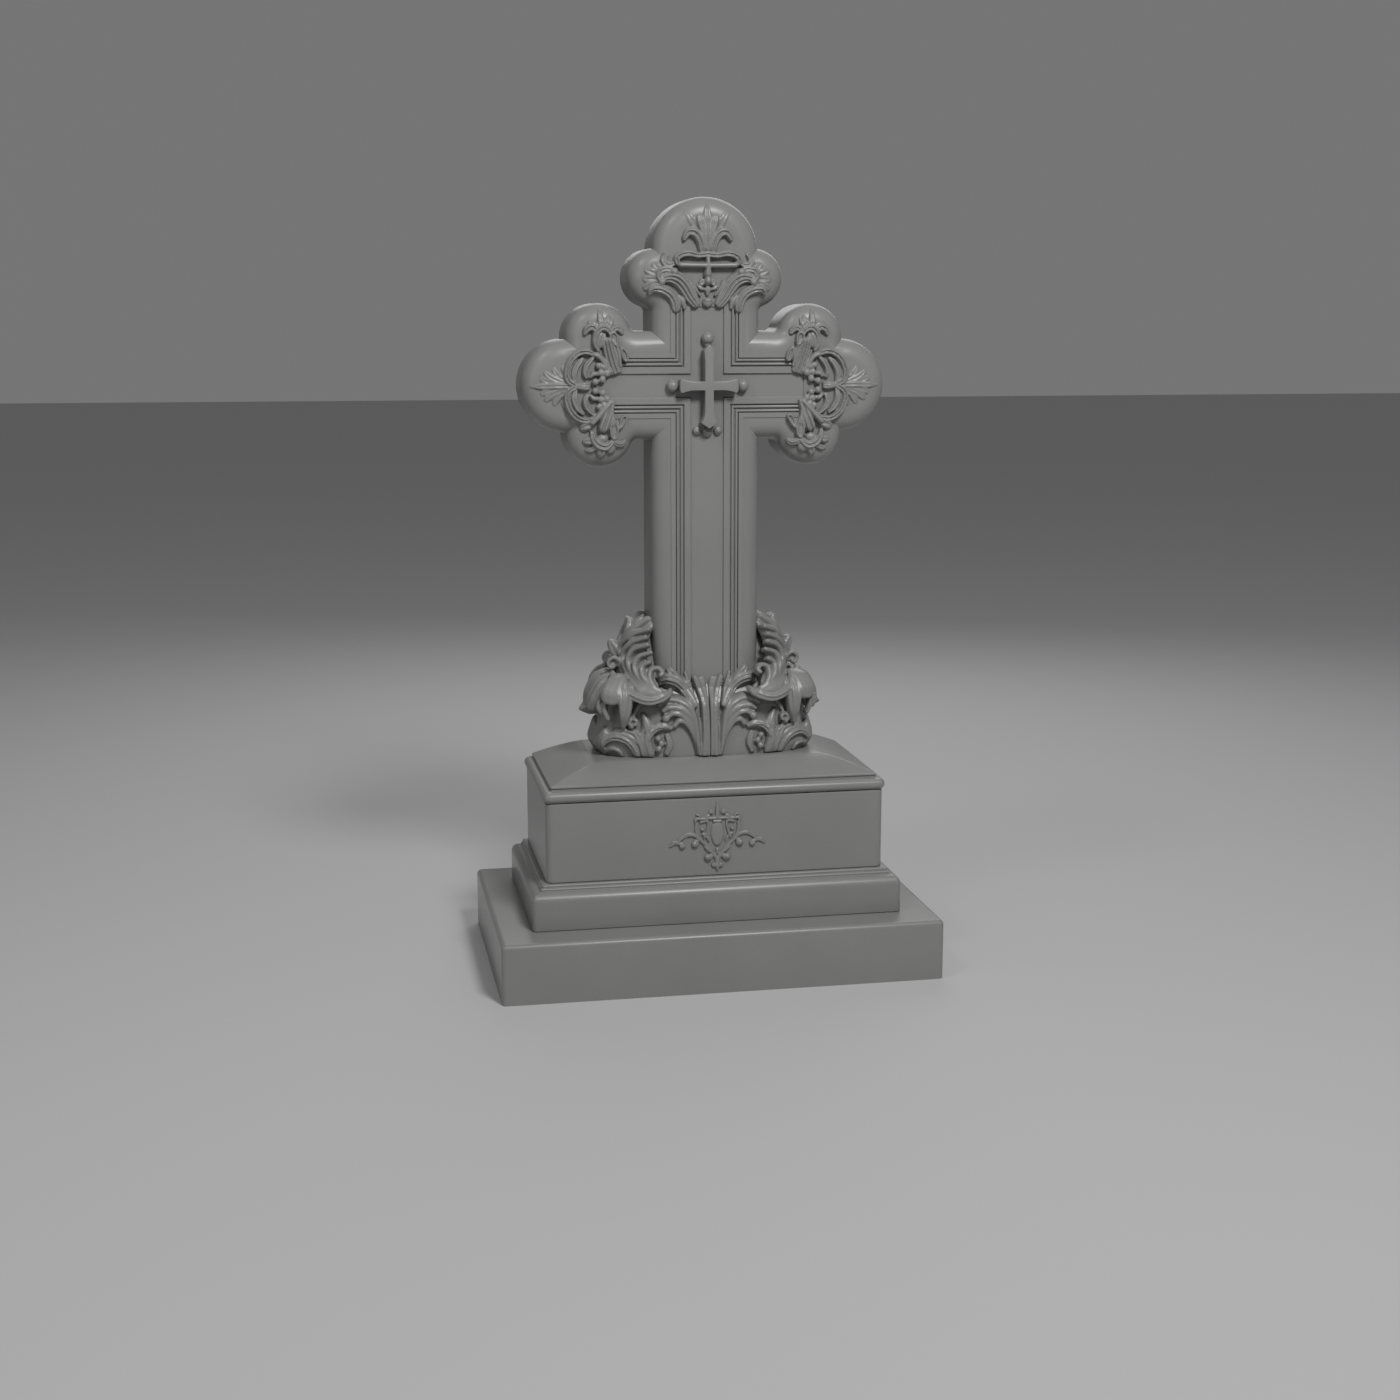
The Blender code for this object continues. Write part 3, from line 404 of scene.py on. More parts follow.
# Insets and depths from the frame's outer edge in to its band.
def mouldSteps():
    m = mouldings
    steps = [(m["arris"], 0.0), (m["fillet"] - m["arris"], 0.0), (m["fillet"], m["arris"]),
             (m["fillet"], m["sunkGroove"])]
    at = m["fillet"] + m["firstGroove"] * m["groove"]
    for _ in range(m["beads"]):
        for step in range(m["beadSteps"] + 1):
            a = math.pi * step / m["beadSteps"]
            sunk = m["sunkGroove"] * (1 - math.sin(a) ** m["beadFull"])
            steps.append((at + 0.5 * m["bead"] * (1 - math.cos(a)), sunk))
        at += m["bead"] + m["groove"]
    steps += [(at, m["sunkGroove"]), (at, m["arris"]), (at + m["arris"], 0.0)]
    steps += [(m["width"] - 2 * m["arris"], 0.0), (m["width"] - m["arris"], m["arris"]),
              (m["width"], m["sunkBand"])]
    return steps


def plusBlock(margin, yBack, yFront):
    outline = plusOutline(mouldings["half"] - margin, mouldings["halfArm"] - margin,
                          frameX + mouldings["width"])
    bm = bmesh.new()
    back = bm.faces.new([bm.verts.new((x, yBack, z)) for x, z in outline])
    front = extruded(bm, back)
    for vertex in front.verts:
        vertex.co.y = yFront
    bmesh.ops.recalc_face_normals(bm, faces=bm.faces)
    return bm, front


def cutSquare(bm, place, outward):
    everything = list(bm.verts) + list(bm.edges) + list(bm.faces)
    cut = bmesh.ops.bisect_plane(bm, geom=everything, plane_co=place, plane_no=outward,
                                 clear_outer=True)["geom_cut"]
    bmesh.ops.contextual_create(bm, geom=[g for g in cut if isinstance(g, bmesh.types.BMEdge)])


def trimPlus(bm, margin=0.0):
    cutSquare(bm, (frameX - margin, 0, 0), (1, 0, 0))
    cutSquare(bm, (margin - frameX, 0, 0), (-1, 0, 0))
    cutSquare(bm, (0, 0, frameHigh), (0, 0, 1))
    cutSquare(bm, (0, 0, frameLow), (0, 0, -1))


def makeMouldings():
    bm, front = plusBlock(0.0, frontY + mouldings["depth"], frontY)
    inset, depth = 0.0, 0.0
    for nextInset, nextDepth in mouldSteps():
        bmesh.ops.inset_region(bm, faces=[front], depth=depth - nextDepth, use_even_offset=True,
                               thickness=max(nextInset - inset, mouldings["thinnest"]))
        inset, depth = nextInset, nextDepth
    trimPlus(bm)
    finishPiece("crossMouldings", bm, "cross", crease=40)


# The rounded cross, cut out where the mouldings are let in. Returns its front as ground.
def makeBody():
    bm = crossBlank()
    ground = frontOf(bm, flatY)
    body = finishPiece("crossBody", bm, "cross", crease=24)
    pocket, _ = plusBlock(mouldings["margin"], frontY + mouldings["pocket"], frontY - mouldings["pocket"])
    trimPlus(pocket, mouldings["margin"])
    bmesh.ops.recalc_face_normals(pocket, faces=pocket.faces)
    cutter = meshObject("mouldingPocket", pocket)
    letIn = body.modifiers.new("letIn", "BOOLEAN")
    letIn.operation, letIn.object, letIn.solver = "DIFFERENCE", cutter, "EXACT"
    applyModifiers(body)
    bpy.data.objects.remove(cutter)
    return ground


# The front of a shape: a function from X and Z to its Y.
def frontOf(bm, miss):
    tree = BVHTree.FromBMesh(bm)

    def ground(x, z):
        hit = tree.ray_cast(Vector((x, -1, z)), Vector((0, 1, 0)))[0]
        return hit.y if hit else miss
    return ground


# carving: fluted leaves, stems, beads and scrolls, laid on a face or standing free. Sizes here and in
# the carved pieces below are in millimetres, but for voxels, which are in metres.

chisel = dict(root=6.0, edgeDip=0.12,  # how deep a stroke is let in, and how far its edges dip
              alongStep=2.2, acrossStep=1.3,  # spacing of its grid
              belly=3.0, full=0.62, tube=0.75,  # how full its section and its flutes are
              endReach=0.9, endWidth=0.08, endRise=0.25, endRoot=0.3,  # how its rounded ends close
              curlSteps=10, curlIn=0.75,  # how far a curl winds in
              smooth=0.5, passes=2, voxel=0.0013)


# A point on a smooth curve through the points, and its direction, t from 0 to 1.
def smoothPath(points, t):
    last = len(points) - 1
    place = min(max(t, 0) * last, last - 1e-6)
    i = int(place)
    f = place - i
    b, c = points[i], points[i + 1]
    a = points[i - 1] if i > 0 else 2 * b - c
    d = points[i + 2] if i + 2 <= last else 2 * c - b
    bend, twist = 2 * a - 5 * b + 4 * c - d, 3 * b - a - 3 * c + d
    at = 0.5 * (2 * b + (c - a) * f + bend * f * f + twist * f ** 3)
    along = 0.5 * ((c - a) + 2 * bend * f + 3 * twist * f * f)
    return at, along.normalized()


# A value from a row of them, eased from one to the next.
def between(values, t):
    place = min(max(t, 0) * (len(values) - 1), len(values) - 1 - 1e-6)
    i = int(place)
    f = place - i
    f = f * f * (3 - 2 * f)
    return values[i] + (values[i + 1] - values[i]) * f


# How much of a leaf's width is left near its ends, each rounded by a share from 0 to 1.
def roundEnds(t, length, width, ends):
    reach = max(width, 1e-6)
    left = 1.0
    for near, share in ((t, ends[0]), (1 - t, ends[1])):
        arc = math.sqrt(max(1 - (1 - min(near * length / reach, 1)) ** 2, 0))
        left *= 1 - share * (1 - arc)
    return left


# Relief that is carved stroke by stroke, in millimetres about a centre.
class Carving:
    def __init__(self, relief, ground, centre, turnX=1, turnZ=1):
        self.relief, self.ground, self.centre = relief, ground, centre
        self.turnX, self.turnZ = turnX, turnZ

    def place(self, u, v, depth=0.0):
        return Vector((self.centre[0] + self.turnX * u * mm, depth * mm,
                       self.centre[1] + self.turnZ * v * mm))

    # A leaf or stem: half widths and heights spread along its path. A path with a depth stands free
    # and faces the way that is given, and others lie on the ground.
    def leaf(self, path, half, rise, tubes=1, groove=0.5, lift=0.0, facing=None, root=None, ends=(1, 1)):
        free = facing is not None
        points = [self.place(*point) for point in path]
        rows = facing if isinstance(facing, list) else [facing or (0, -1, 0)]
        looks = [Vector((self.turnX * x, y, self.turnZ * z)).normalized() for x, y, z in rows]
        length = sum((b - a).length for a, b in zip(points, points[1:])) / mm
        along = max(6, round(length / chisel["alongStep"]))
        across = max(6, round(2 * max(half) / chisel["acrossStep"]), 6 * tubes)
        root = chisel["root"] if root is None else root
        endRise, endRoot = chisel["endRise"], chisel["endRoot"]
        bm = bmesh.new()
        grid = bmesh.ops.create_grid(bm, x_segments=along, y_segments=across, size=1)["verts"]
        sheet = list(bm.faces)
        raised = [g for g in bmesh.ops.extrude_face_region(bm, geom=sheet)["geom"]
                  if isinstance(g, bmesh.types.BMVert)]
        top = set(raised)
        for vertex in grid + raised:
            t, s = (vertex.co.x + 1) / 2, vertex.co.y
            at, direction = smoothPath(points, t)
            look = looks[0] if len(looks) == 1 else smoothPath(looks, t)[0].normalized()
            side = direction.cross(look).normalized()
            width = between(half, t)
            left = roundEnds(t, length, width * chisel["endReach"], ends)
            spot = at + side * (s * width * max(left, chisel["endWidth"]) * mm)
            if not free:
                spot.y = self.ground(spot.x, spot.z) - lift * mm
            belly = max(1 - abs(s) ** chisel["belly"], 0) ** chisel["full"]
            if vertex in top:
                ridge = abs(math.sin(math.pi * tubes * (s + 1) / 2)) ** chisel["tube"] if tubes > 1 else 1
                height = between(rise, t) * (endRise + (1 - endRise) * left)
                spot += look * ((belly * (1 - groove * (1 - ridge)) - chisel["edgeDip"]) * height * mm)
            elif free:
                spot -= look * ((1 + root * belly * (endRoot + (1 - endRoot) * left)) * mm)
            else:
                spot -= look * (root * mm)
            vertex.co = spot
        self.add(bm)

    def add(self, bm):
        turnOutward(bm)
        mesh = bpy.data.meshes.new("stroke")
        bm.to_mesh(mesh)
        bm.free()
        self.relief.from_mesh(mesh)
        bpy.data.meshes.remove(mesh)

    # A ball, sunk in the ground or at a depth of its own.
    def bead(self, u, v, radius, depth=None, out=0.3, detail=3):
        spot = self.place(u, v, 0 if depth is None else depth)
        if depth is None:
            spot.y = self.ground(spot.x, spot.z) - out * radius * mm
        bm = bmesh.new()
        bmesh.ops.create_icosphere(bm, subdivisions=detail, radius=radius * mm)
        bmesh.ops.translate(bm, vec=spot, verts=bm.verts)
        self.add(bm)

    # A closed loop of stem round a lower, filled middle.
    def loop(self, points, half, rise, fill):
        points = list(points)
        self.leaf(points + points[:2], [half, half], [rise, rise])
        far = max(points, key=lambda p: math.dist(p, points[0]))
        wide = 0.3 * math.dist(far, points[0])
        self.leaf([points[0], far], [wide, wide], [fill, fill])

    # A stem rolled up at its end: turns round a point, growing narrower.
    def curl(self, u, v, radius, half, rise, start=0, sweep=400):
        steps = chisel["curlSteps"]
        path = []
        for i in range(steps + 1):
            a, out = math.radians(start + sweep * i / steps), radius * (1 - chisel["curlIn"] * i / steps)
            path.append((u + out * math.cos(a), v + out * math.sin(a)))
        self.leaf(path, [half, half, 0.8 * half], [rise, rise, 1.15 * rise])
        self.bead(u, v, 0.8 * radius, out=0.2)


# Fuses the strokes of a carving into one skin and eases it, as a carver's rasp does.
def finishCarving(name, relief, voxel, node="cross", floor=None):
    piece = meshObject(name, relief)
    fuse = piece.modifiers.new("fuse", "REMESH")
    fuse.mode, fuse.voxel_size, fuse.use_smooth_shade = "VOXEL", voxel, True
    applyModifiers(piece)
    bm = bmesh.new()
    bm.from_mesh(piece.data)
    for _ in range(chisel["passes"]):
        bmesh.ops.smooth_vert(bm, verts=bm.verts, factor=chisel["smooth"], use_axis_x=True, use_axis_y=True,
                              use_axis_z=True)
    if floor is not None:
        for vertex in bm.verts:
            vertex.co.z = max(vertex.co.z, floor)
    for face in bm.faces:
        face.smooth = True
    bm.to_mesh(piece.data)
    bm.free()
    settle(piece, node)
    print(name, len(piece.data.polygons) * 2, "triangles")
    return piece


# small cross at the crossing

crosslet = dict(head=81, foot=84, span=118, half=8.75, shoulder=10.75, flare=13.8, base=16,
                proud=28, chamfer=1.6, chamferSteps=4, root=7, voxel=0.0009,
                ball=12.3, ballGap=0.98, boss=11.2, bossGap=0.75,  # gaps in radii, middle to end
                bosses=((-21.5, 3, 0.94), (0, 0, 1.06), (21.5, 3, 0.94)))  # across, up and size of each


def crossletOutline():
    c = crosslet
    half, end = c["half"], c["span"] / 2
    right = [(0, -c["foot"]), (c["base"], 11 - c["foot"]), (0.74 * c["base"], 20 - c["foot"]),
             (0.6 * c["base"], 28 - c["foot"]), (half, 38 - c["foot"]), (half, -half), (0.5 * end, -half)]
    edge = [(0.5 * end, half), (0.66 * end, 1.1 * half), (0.8 * end, 1.32 * half), (end - 5, c["flare"]),
            (end - 1.5, 0.9 * c["flare"]), (end, 0.55 * c["flare"])]
    right += [(x, -z) for x, z in edge[1:]] + [(x, z) for x, z in reversed(edge)]
    right += [(half, half), (half, c["head"] - 36), (1.06 * half, c["head"] - 24),
              (c["shoulder"], c["head"] - 11.5), (0, c["head"])]
    return right + [(-x, z) for x, z in reversed(right[1:-1])]


def makeCrosslet():
    bandY = frontY + mouldings["sunkBand"]
    outline = [(x * mm, bandY + crosslet["root"] * mm, armZ + z * mm) for x, z in crossletOutline()]
    bm = bmesh.new()
    back = bm.faces.new([bm.verts.new(point) for point in outline])
    front = extruded(bm, back)
    chamfer = crosslet["chamfer"] * mm
    for vertex in front.verts:
        vertex.co.y = bandY - crosslet["proud"] * mm + chamfer
    bmesh.ops.recalc_face_normals(bm, faces=bm.faces)
    roundOver(bm, front, chamfer, chamfer, crosslet["chamferSteps"])
    finishPiece("crosslet", bm, "cross", crease=30)
    beads = bmesh.new()
    carving = Carving(beads, lambda x, z: bandY, (0, armZ))
    ball, boss = crosslet["ball"], crosslet["boss"]
    gap = crosslet["ballGap"] * ball
    headV, endU = crosslet["head"] + gap, crosslet["span"] / 2 + gap
    for u, v in ((0, headV), (endU, 0), (-endU, 0)):
        carving.bead(u, v, ball, out=0.55)
        carving.bead(u, v, 0.72 * ball, out=1.15)
        carving.leaf([(u * 0.78, v * 0.78), (u * 0.95, v * 0.95)], [0.62 * ball] * 2, [1.2 * ball] * 2)
    footV = -crosslet["foot"] - crosslet["bossGap"] * boss
    for u, up, size in crosslet["bosses"]:
        v = footV + up
        carving.curl(u, v, 0.68 * size * boss, 0.32 * size * boss, 0.9 * boss, sweep=470)
        carving.bead(u, v, 0.85 * size * boss, out=0.1)
        carving.bead(u, v, 0.42 * size * boss, out=1.7)
    finishCarving("crossletBeads", beads, crosslet["voxel"])


# crown: the carved head of the cross

def carveCrown(ground):
    relief = bmesh.new()
    middle = Carving(relief, ground, (0, crownZ))
    middle.leaf([(0, -4), (0, 33), (0, 60), (0, 80), (0, 94)], [5, 8, 10, 8, 2], [14, 14, 10, 6, 2], 3, 0.4)
    middle.leaf([(0, -8), (0, -34), (0, -50)], [5, 6, 9, 9], [17, 19, 18, 15])
    middle.leaf([(0, -46), (0, -66)], [6.5, 8, 5], [15, 18, 12])
    middle.leaf([(0, -64), (0, -86)], [4, 6.5, 3], [9, 11, 7], 2)
    middle.leaf([(0, -90), (0, -108)], [11.5, 12, 7], [11, 11, 9], ends=(0.2, 1))
    middle.leaf([(-9, -93), (9, -93)], [3, 3], [13, 13])
    middle.leaf([(-62, -25), (0, -26), (62, -25)], [6.5, 6, 6.5], [19, 19, 19])
    for turn in (1, -1):
        half = Carving(relief, ground, (0, crownZ), turn)
        half.leaf([(3, 4), (9, 36), (14, 56), (17, 73)], [4, 6.5, 9, 8], [11, 13, 11, 7], 2, 0.3)
        half.leaf([(13, 32), (28, 57), (45, 81)], [8, 10, 6], [2.5, 3, 1.2], 2, 0.5)
        half.leaf([(11, -5), (14, 18), (24, 35), (37, 38), (45, 29), (48, 20)], [8, 9.5, 10.5, 9.5, 7, 3.5],
                  [13, 15, 16, 15, 14, 11], 2, 0.55)
        half.leaf([(-4, -4), (18, -7), (35, -4), (50, -5), (62, -13), (60, -26)], [6.5, 6.5, 7, 7.5, 8, 7],
                  [17, 15, 17, 18, 18, 17], 2, 0.7)
        half.curl(13, -59, 7, 2.6, 9, 60)
        half.leaf([(4, -72), (14, -70), (22, -62)], [3, 4.5, 2.5], [8, 9, 6])
        half.leaf([(32, -52), (25, -70), (13, -86)], [2.5, 3, 3], [10, 10, 10])
        half.leaf([(98, -62), (84, -50), (64, -50), (47, -64), (35, -84), (19, -106)],
                  [5, 11, 15.5, 16, 14, 11], [11, 16, 18, 17, 15, 13], 4, 0.6, ends=(1, 0.6))
        half.leaf([(63, -118), (65, -97), (76, -80), (95, -71), (111, -72), (117, -86)],
                  [9.5, 11.5, 11.5, 10.5, 9, 4], [11, 14, 16, 17, 16, 10], 3, 0.55)
        half.leaf([(46, -112), (50, -96), (60, -82)], [4, 6, 3.5], [8, 11, 9])
        half.leaf([(62, -20), (78, -26), (88, -19), (84, -7), (77, -2)], [5, 7.5, 8, 7, 4],
                  [11, 13, 13, 11, 8], 2, 0.6)
        for path in (((86, -42), (100, -30), (111, -20)), ((88, -44), (110, -40), (126, -33)),
                     ((90, -50), (112, -53), (130, -52)), ((90, -56), (113, -64), (129, -72))):
            half.leaf(path, [6.5, 10.5, 6.5], [8, 7.5, 3.5], 2, 0.5)
        half.leaf([(60, -42), (76, -34), (94, -36), (98, -49), (86, -54)], [5, 7, 8, 7, 4],
                  [11, 14, 15, 14, 11], 2, 0.5)
        half.bead(67, -38, 7.5, out=1.2)
        half.bead(92, -58, 7, out=1.2)
    finishCarving("crownCarving", relief, chisel["voxel"])


# ends of the arms: a palmette in a frame of scrolls, with a bud in each side lobe

def carveArmEnd(ground, side, name):
    relief = bmesh.new()
    centre = (side * tipX, armZ)
    whole = Carving(relief, ground, centre, side)
    whole.leaf([(-12, 0), (22, 1), (50, 0), (76, 0)], [6, 8.5, 7.5, 3], [13, 11, 6.5, 2.5], 2, 0.4)
    for flip in (1, -1):
        half = Carving(relief, ground, centre, side, flip)
        for path in (((0, 3), (34, 7), (56, 16)), ((-2, 4), (24, 12), (38, 20), (47, 30)),
                     ((-4, 6), (18, 18), (30, 38)), ((-4, 12), (5, 28), (11, 42))):
            half.leaf(path, [4.5, 8, 8.5, 5], [9, 8, 5.5, 2.5], 2, 0.45)
        half.leaf([(-16, 0), (0, 10), (4, 26), (-3, 47), (-17, 62), (-34, 67), (-52, 62)],
                  [6, 7, 7.5, 7.5, 7.5, 7, 6], [14, 17, 18, 18, 17, 16, 14], 2, 0.7)
        half.leaf([(-15, 4), (-11, 24), (-18, 42), (-32, 56)], [5, 8.5, 8, 4], [10, 14, 13, 9], 2, 0.45)
        half.leaf([(-52, 58), (-37, 42), (-33, 27), (-38, 14)], [4, 7, 7, 5], [12, 15, 15, 12], 2, 0.6)
        half.leaf([(-62, 22), (-50, 24), (-42, 15)], [4, 6, 4], [10, 13, 10])
        half.leaf([(-44, 3), (-30, 2), (-12, 0)], [5, 7.5, 5], [11, 14, 13], 2, 0.4)
        half.bead(-53, 9, 7, out=1.0)
        for u, v, radius in ((-76, 25, 7.5), (-67, 13, 7), (-60, 40, 6.5), (-70, 37, 7), (-64, 26, 7)):
            half.bead(u, v, radius, out=0.9)
    upper = Carving(relief, ground, centre, side)
    upper.leaf([(-48, 63), (-62, 57), (-74, 41), (-86, 24)], [6, 6, 5.5, 4.5], [15, 15, 14, 13])
    lower = Carving(relief, ground, centre, side, -1)
    lower.leaf([(-88, 27), (-70, 45), (-55, 62), (-42, 75)], [5.5, 6.5, 7, 6.5], [14, 17, 19, 18], lift=2)
    for flip, drawBud in ((1, upperBud), (-1, lowerBud)):
        drawBud(Carving(relief, ground, (side * sideX, armZ + flip * cross["sideOffset"]), side, flip))
    finishCarving(name, relief, chisel["voxel"])


def upperBud(bud):
    bud.leaf([(-3, 16), (-1, 38), (0, 58)], [8, 8.5, 7, 2.5], [12, 12, 8, 3], 2, 0.25)
    bud.leaf([(-8, 18), (-14, 32), (-19, 46)], [5, 7, 4], [10, 9, 4], 2, 0.4)
    bud.leaf([(-16, 16), (-22, 28), (-26, 40)], [4, 5.5, 3], [9, 8, 4])
    bud.leaf([(2, 18), (12, 26), (25, 33)], [5, 7, 3.5], [11, 10, 5], 2, 0.4)
    bud.leaf([(5, 10), (15, 21), (26, 17), (32, 4)], [6, 8.5, 8.5, 4], [13, 15, 14, 9], 2, 0.6)
    bud.leaf([(-22, 12), (-32, 19), (-41, 15), (-46, 6)], [5, 7, 7, 4], [11, 13, 11, 8], 2, 0.6)
    bud.leaf([(2, -28), (11, -8), (8, 10), (-4, 20), (-16, 15), (-22, 4)], [4, 6.5, 7.5, 7.5, 6.5, 5],
             [13, 17, 19, 19, 17, 14], 2, 0.5)
    bud.leaf([(0, -20), (-2, -2), (-8, 12)], [9, 12, 8], [11, 14, 12], 2, 0.3)
    bud.leaf([(-12, 2), (-21, -36), (-32, -69)], [11, 14, 15, 15], [20, 17, 14, 12], 4, 0.7, ends=(1, 0.15))
    bud.loop([(-31, -14), (-20, -2), (-21, 8), (-27, 11), (-33, 4), (-33, -6)], 2.8, 15, 10)
    bud.leaf([(-31, -12), (-36, -32), (-41, -58)], [3, 3.5, 4], [14, 13, 12])
    bud.loop([(-40, -18), (-43, -34), (-49, -44), (-54, -39), (-50, -26)], 2.8, 14, 9)


def lowerBud(bud):
    bud.leaf([(20, -8), (16, 10), (6, 22), (-8, 26), (-19, 19), (-22, 10)], [4, 8, 10, 10, 7, 4],
             [14, 17, 18, 18, 16, 12], 2, 0.45)
    bud.leaf([(-2, 0), (-3, 20)], [15, 13], [13, 12])
    bud.leaf([(-24, -67), (-12, -34), (0, -2)], [8, 10, 13, 13], [13, 17, 21, 20], 2, 0.45, ends=(0.2, 1))
    bud.leaf([(-22, -60), (-23, -34), (-25, -14)], [3.5, 4, 4], [13, 15, 14])
    bud.loop([(-24, -30), (-18, -10), (-20, 4), (-25, 10), (-31, 4), (-32, -10)], 2.8, 16, 11)
    bud.loop([(-36, -10), (-44, -19), (-51, -31), (-46, -35), (-39, -27)], 2.8, 14, 9)
    bud.leaf([(14, -20), (30, -16), (43, -10)], [9, 12, 9], [12, 13, 8], 2, 0.35)
    bud.leaf([(10, 8), (25, 14), (38, 14)], [7, 9.5, 5], [11, 11, 6], 2, 0.3)
    bud.leaf([(6, 22), (19, 31), (33, 32)], [5, 6.5, 3.5], [9, 9, 5], 2, 0.5)
    bud.leaf([(-3, 22), (0, 38), (2, 50)], [9, 11, 5], [12, 12, 7], 2, 0.4)
    bud.leaf([(-8, 22), (-20, 31), (-28, 37)], [8, 12, 9], [10, 10, 6])
    bud.leaf([(-20, 8), (-30, 18), (-43, 20), (-52, 12)], [5, 8, 8, 4], [11, 13, 11, 7], 3, 0.6)


# foot: leaves and hoods that wrap the shaft where it meets the cap

foot = dict(width=0.444, depth=0.200, rise=0.277, sides=72, rings=30, square=0.6, voxel=0.0019,
            backVoxel=0.0025,
            sections=((0.0, 0.98, 1.0), (0.09, 1.05, 1.0), (0.22, 1.0, 0.97), (0.37, 0.95, 0.92),
                      (0.45, 0.90, 0.80), (0.55, 0.80, 0.66), (0.75, 0.68, 0.52), (0.95, 0.57, 0.34),
                      (1.0, 0.46, 0.20)))  # shares of the rise, the width and the depth


# The mass behind the leaves, drawn up from the cap to its top inside the shaft.
def footCore():
    halfX, halfY, square = foot["width"] / 2, foot["depth"] / 2, foot["square"]
    rings = []
    points = [Vector(section) for section in foot["sections"]]
    for step in range(foot["rings"] + 1):
        share, wide, deep = smoothPath(points, step / foot["rings"])[0]
        ring = []
        for side in range(foot["sides"]):
            a = 2 * math.pi * (side + 0.5) / foot["sides"]
            c, s = math.cos(a), math.sin(a)
            ring.append(Vector((math.copysign(abs(c) ** square, c) * wide * halfX,
                                math.copysign(abs(s) ** square, s) * deep * halfY,
                                bedZ + share * foot["rise"])))
        rings.append(ring)
    return pullRings(rings)


# The leaves of one side of the foot. The hidden face has fewer small scrolls.
def footSide(side, full):
    # fan beside the stems: a broad blade, then its tubes
    side.leaf([(17, -6), (25, 56), (44, 86), (72, 100), (90, 96)], [8, 10, 16, 19, 13], [9, 10, 10, 10, 8])
    side.leaf([(23, 10), (34, 86), (60, 115), (92, 118), (107, 105)], [6, 8, 9, 8.5, 6.5],
              [18, 20, 21, 19, 16])
    side.leaf([(22, 2), (33, 70), (57, 98), (84, 103), (99, 93)], [6, 7.5, 8.5, 8.5, 6.5],
              [16, 18, 19, 18, 15])
    side.leaf([(21, -4), (34, 56), (55, 84), (76, 90), (89, 82)], [6, 7, 8, 7.5, 7], [14, 16, 17, 17, 16])
    side.leaf([(19, -6), (33, 42), (48, 68), (63, 74), (71, 66)], [5, 6.5, 7, 7, 6], [12, 14, 15, 15, 14])
    side.bead(91, 80, 8.5, out=1.0)
    side.bead(72, 65, 6, out=1.0)
    # front leaf over the fan, and the thin one before it
    side.leaf([(26, 104), (52, 144), (70, 164), (83, 180)], [6, 10, 11, 8], [20, 20, 16, 12], 2, 0.4)
    side.leaf([(28, 98), (56, 143), (84, 157), (106, 148)], [7, 11, 13, 9], [21, 23, 23, 18], 3, 0.55)
    side.leaf([(26, 100), (38, 140), (47, 172)], [5, 7, 3.5], [20, 16, 9], 2, 0.5)
    # stems in the middle
    side.leaf([(12, -6), (11, 60), (13, 112), (22, 146), (29, 163)], [7, 7, 7, 7.5, 6],
              [19, 21, 21, 20, 17], 2, 0.35)
    side.leaf([(3, -6), (3, 60), (5, 110), (9, 140), (13, 160)], [4, 4, 5, 8, 7], [15, 17, 15, 8, 4])
    tallLeaf(side)
    # folds beside the hoods, and the stalk between
    fold = (0.3, -1, 0.15)
    side.leaf([(160, 150, -88), (163, 122, -102), (168, 92, -104), (177, 60, -96)], [5, 5.5, 5.5, 3],
              [9, 10, 10, 6], facing=fold, root=12)
    side.leaf([(170, 156, -86), (172, 128, -105), (174, 96, -107), (178, 60, -96)], [5.5, 6, 5.5, 3],
              [10, 11, 10, 6], facing=fold, root=12)
    side.leaf([(180, 152, -92), (183, 122, -108), (182, 92, -106), (179, 62, -96)], [6, 6.5, 5, 3],
              [10, 11, 9, 5], facing=fold, root=12)
    side.leaf([(120, 124), (142, 110), (159, 80)], [5, 6, 4.5], [15, 16, 12], 2, 0.7)
    if full:
        # leaf and curls low in the middle
        side.leaf([(120, -6), (134, 36), (128, 64), (138, 92)], [12, 16, 13, 5], [14, 18, 19, 12], 3, 0.5)
        side.leaf([(128, 34), (128, 60), (137, 94)], [8, 10, 3.5], [20, 21, 12], 2, 0.35)
        side.leaf([(134, 0), (146, 40), (158, 58)], [8, 10, 7], [15, 17, 17], 2, 0.4)
        side.curl(156, 73, 11, 5, 21, -100, 430)
        side.leaf([(136, 20), (162, 48), (195, 57)], [8, 10, 4], [14, 16, 9], 2, 0.55)
        side.leaf([(77, 56), (90, 63), (108, 63), (124, 50), (130, 28), (120, 0)], [4, 8, 10, 10, 10, 9],
                  [11, 17, 20, 20, 18, 14], 3, 0.5)
        side.leaf([(90, 50), (83, 26), (92, 2)], [6, 9, 7], [10, 13, 10], 2, 0.5)
        for u, v, radius in ((107, 39, 7), (100, 28, 6.5), (106, 17, 7)):
            side.bead(u, v, radius, out=0.8)
        side.leaf([(146, -4), (162, 28), (182, 42), (202, 41), (216, 27), (222, 8)], [7, 10, 12, 11, 8, 5],
                  [12, 16, 17, 16, 13, 9], 3, 0.65)
        side.leaf([(176, -4), (186, 12), (200, 16), (209, 4)], [5, 6, 6, 4], [8, 10, 10, 7])


# The tall leaf at the side of the shaft. Its spine is at the middle of the side, and its lobes curl
# forward round the shaft, on a surface whose sections are quarters of an ellipse.
tall = dict(inner=92, low=128, high=286, lean=0.3, widest=0.985, reach=(206, 184, 168, 163, 153, 118),
            front=(118, 106, 92, 80, 68, 54))


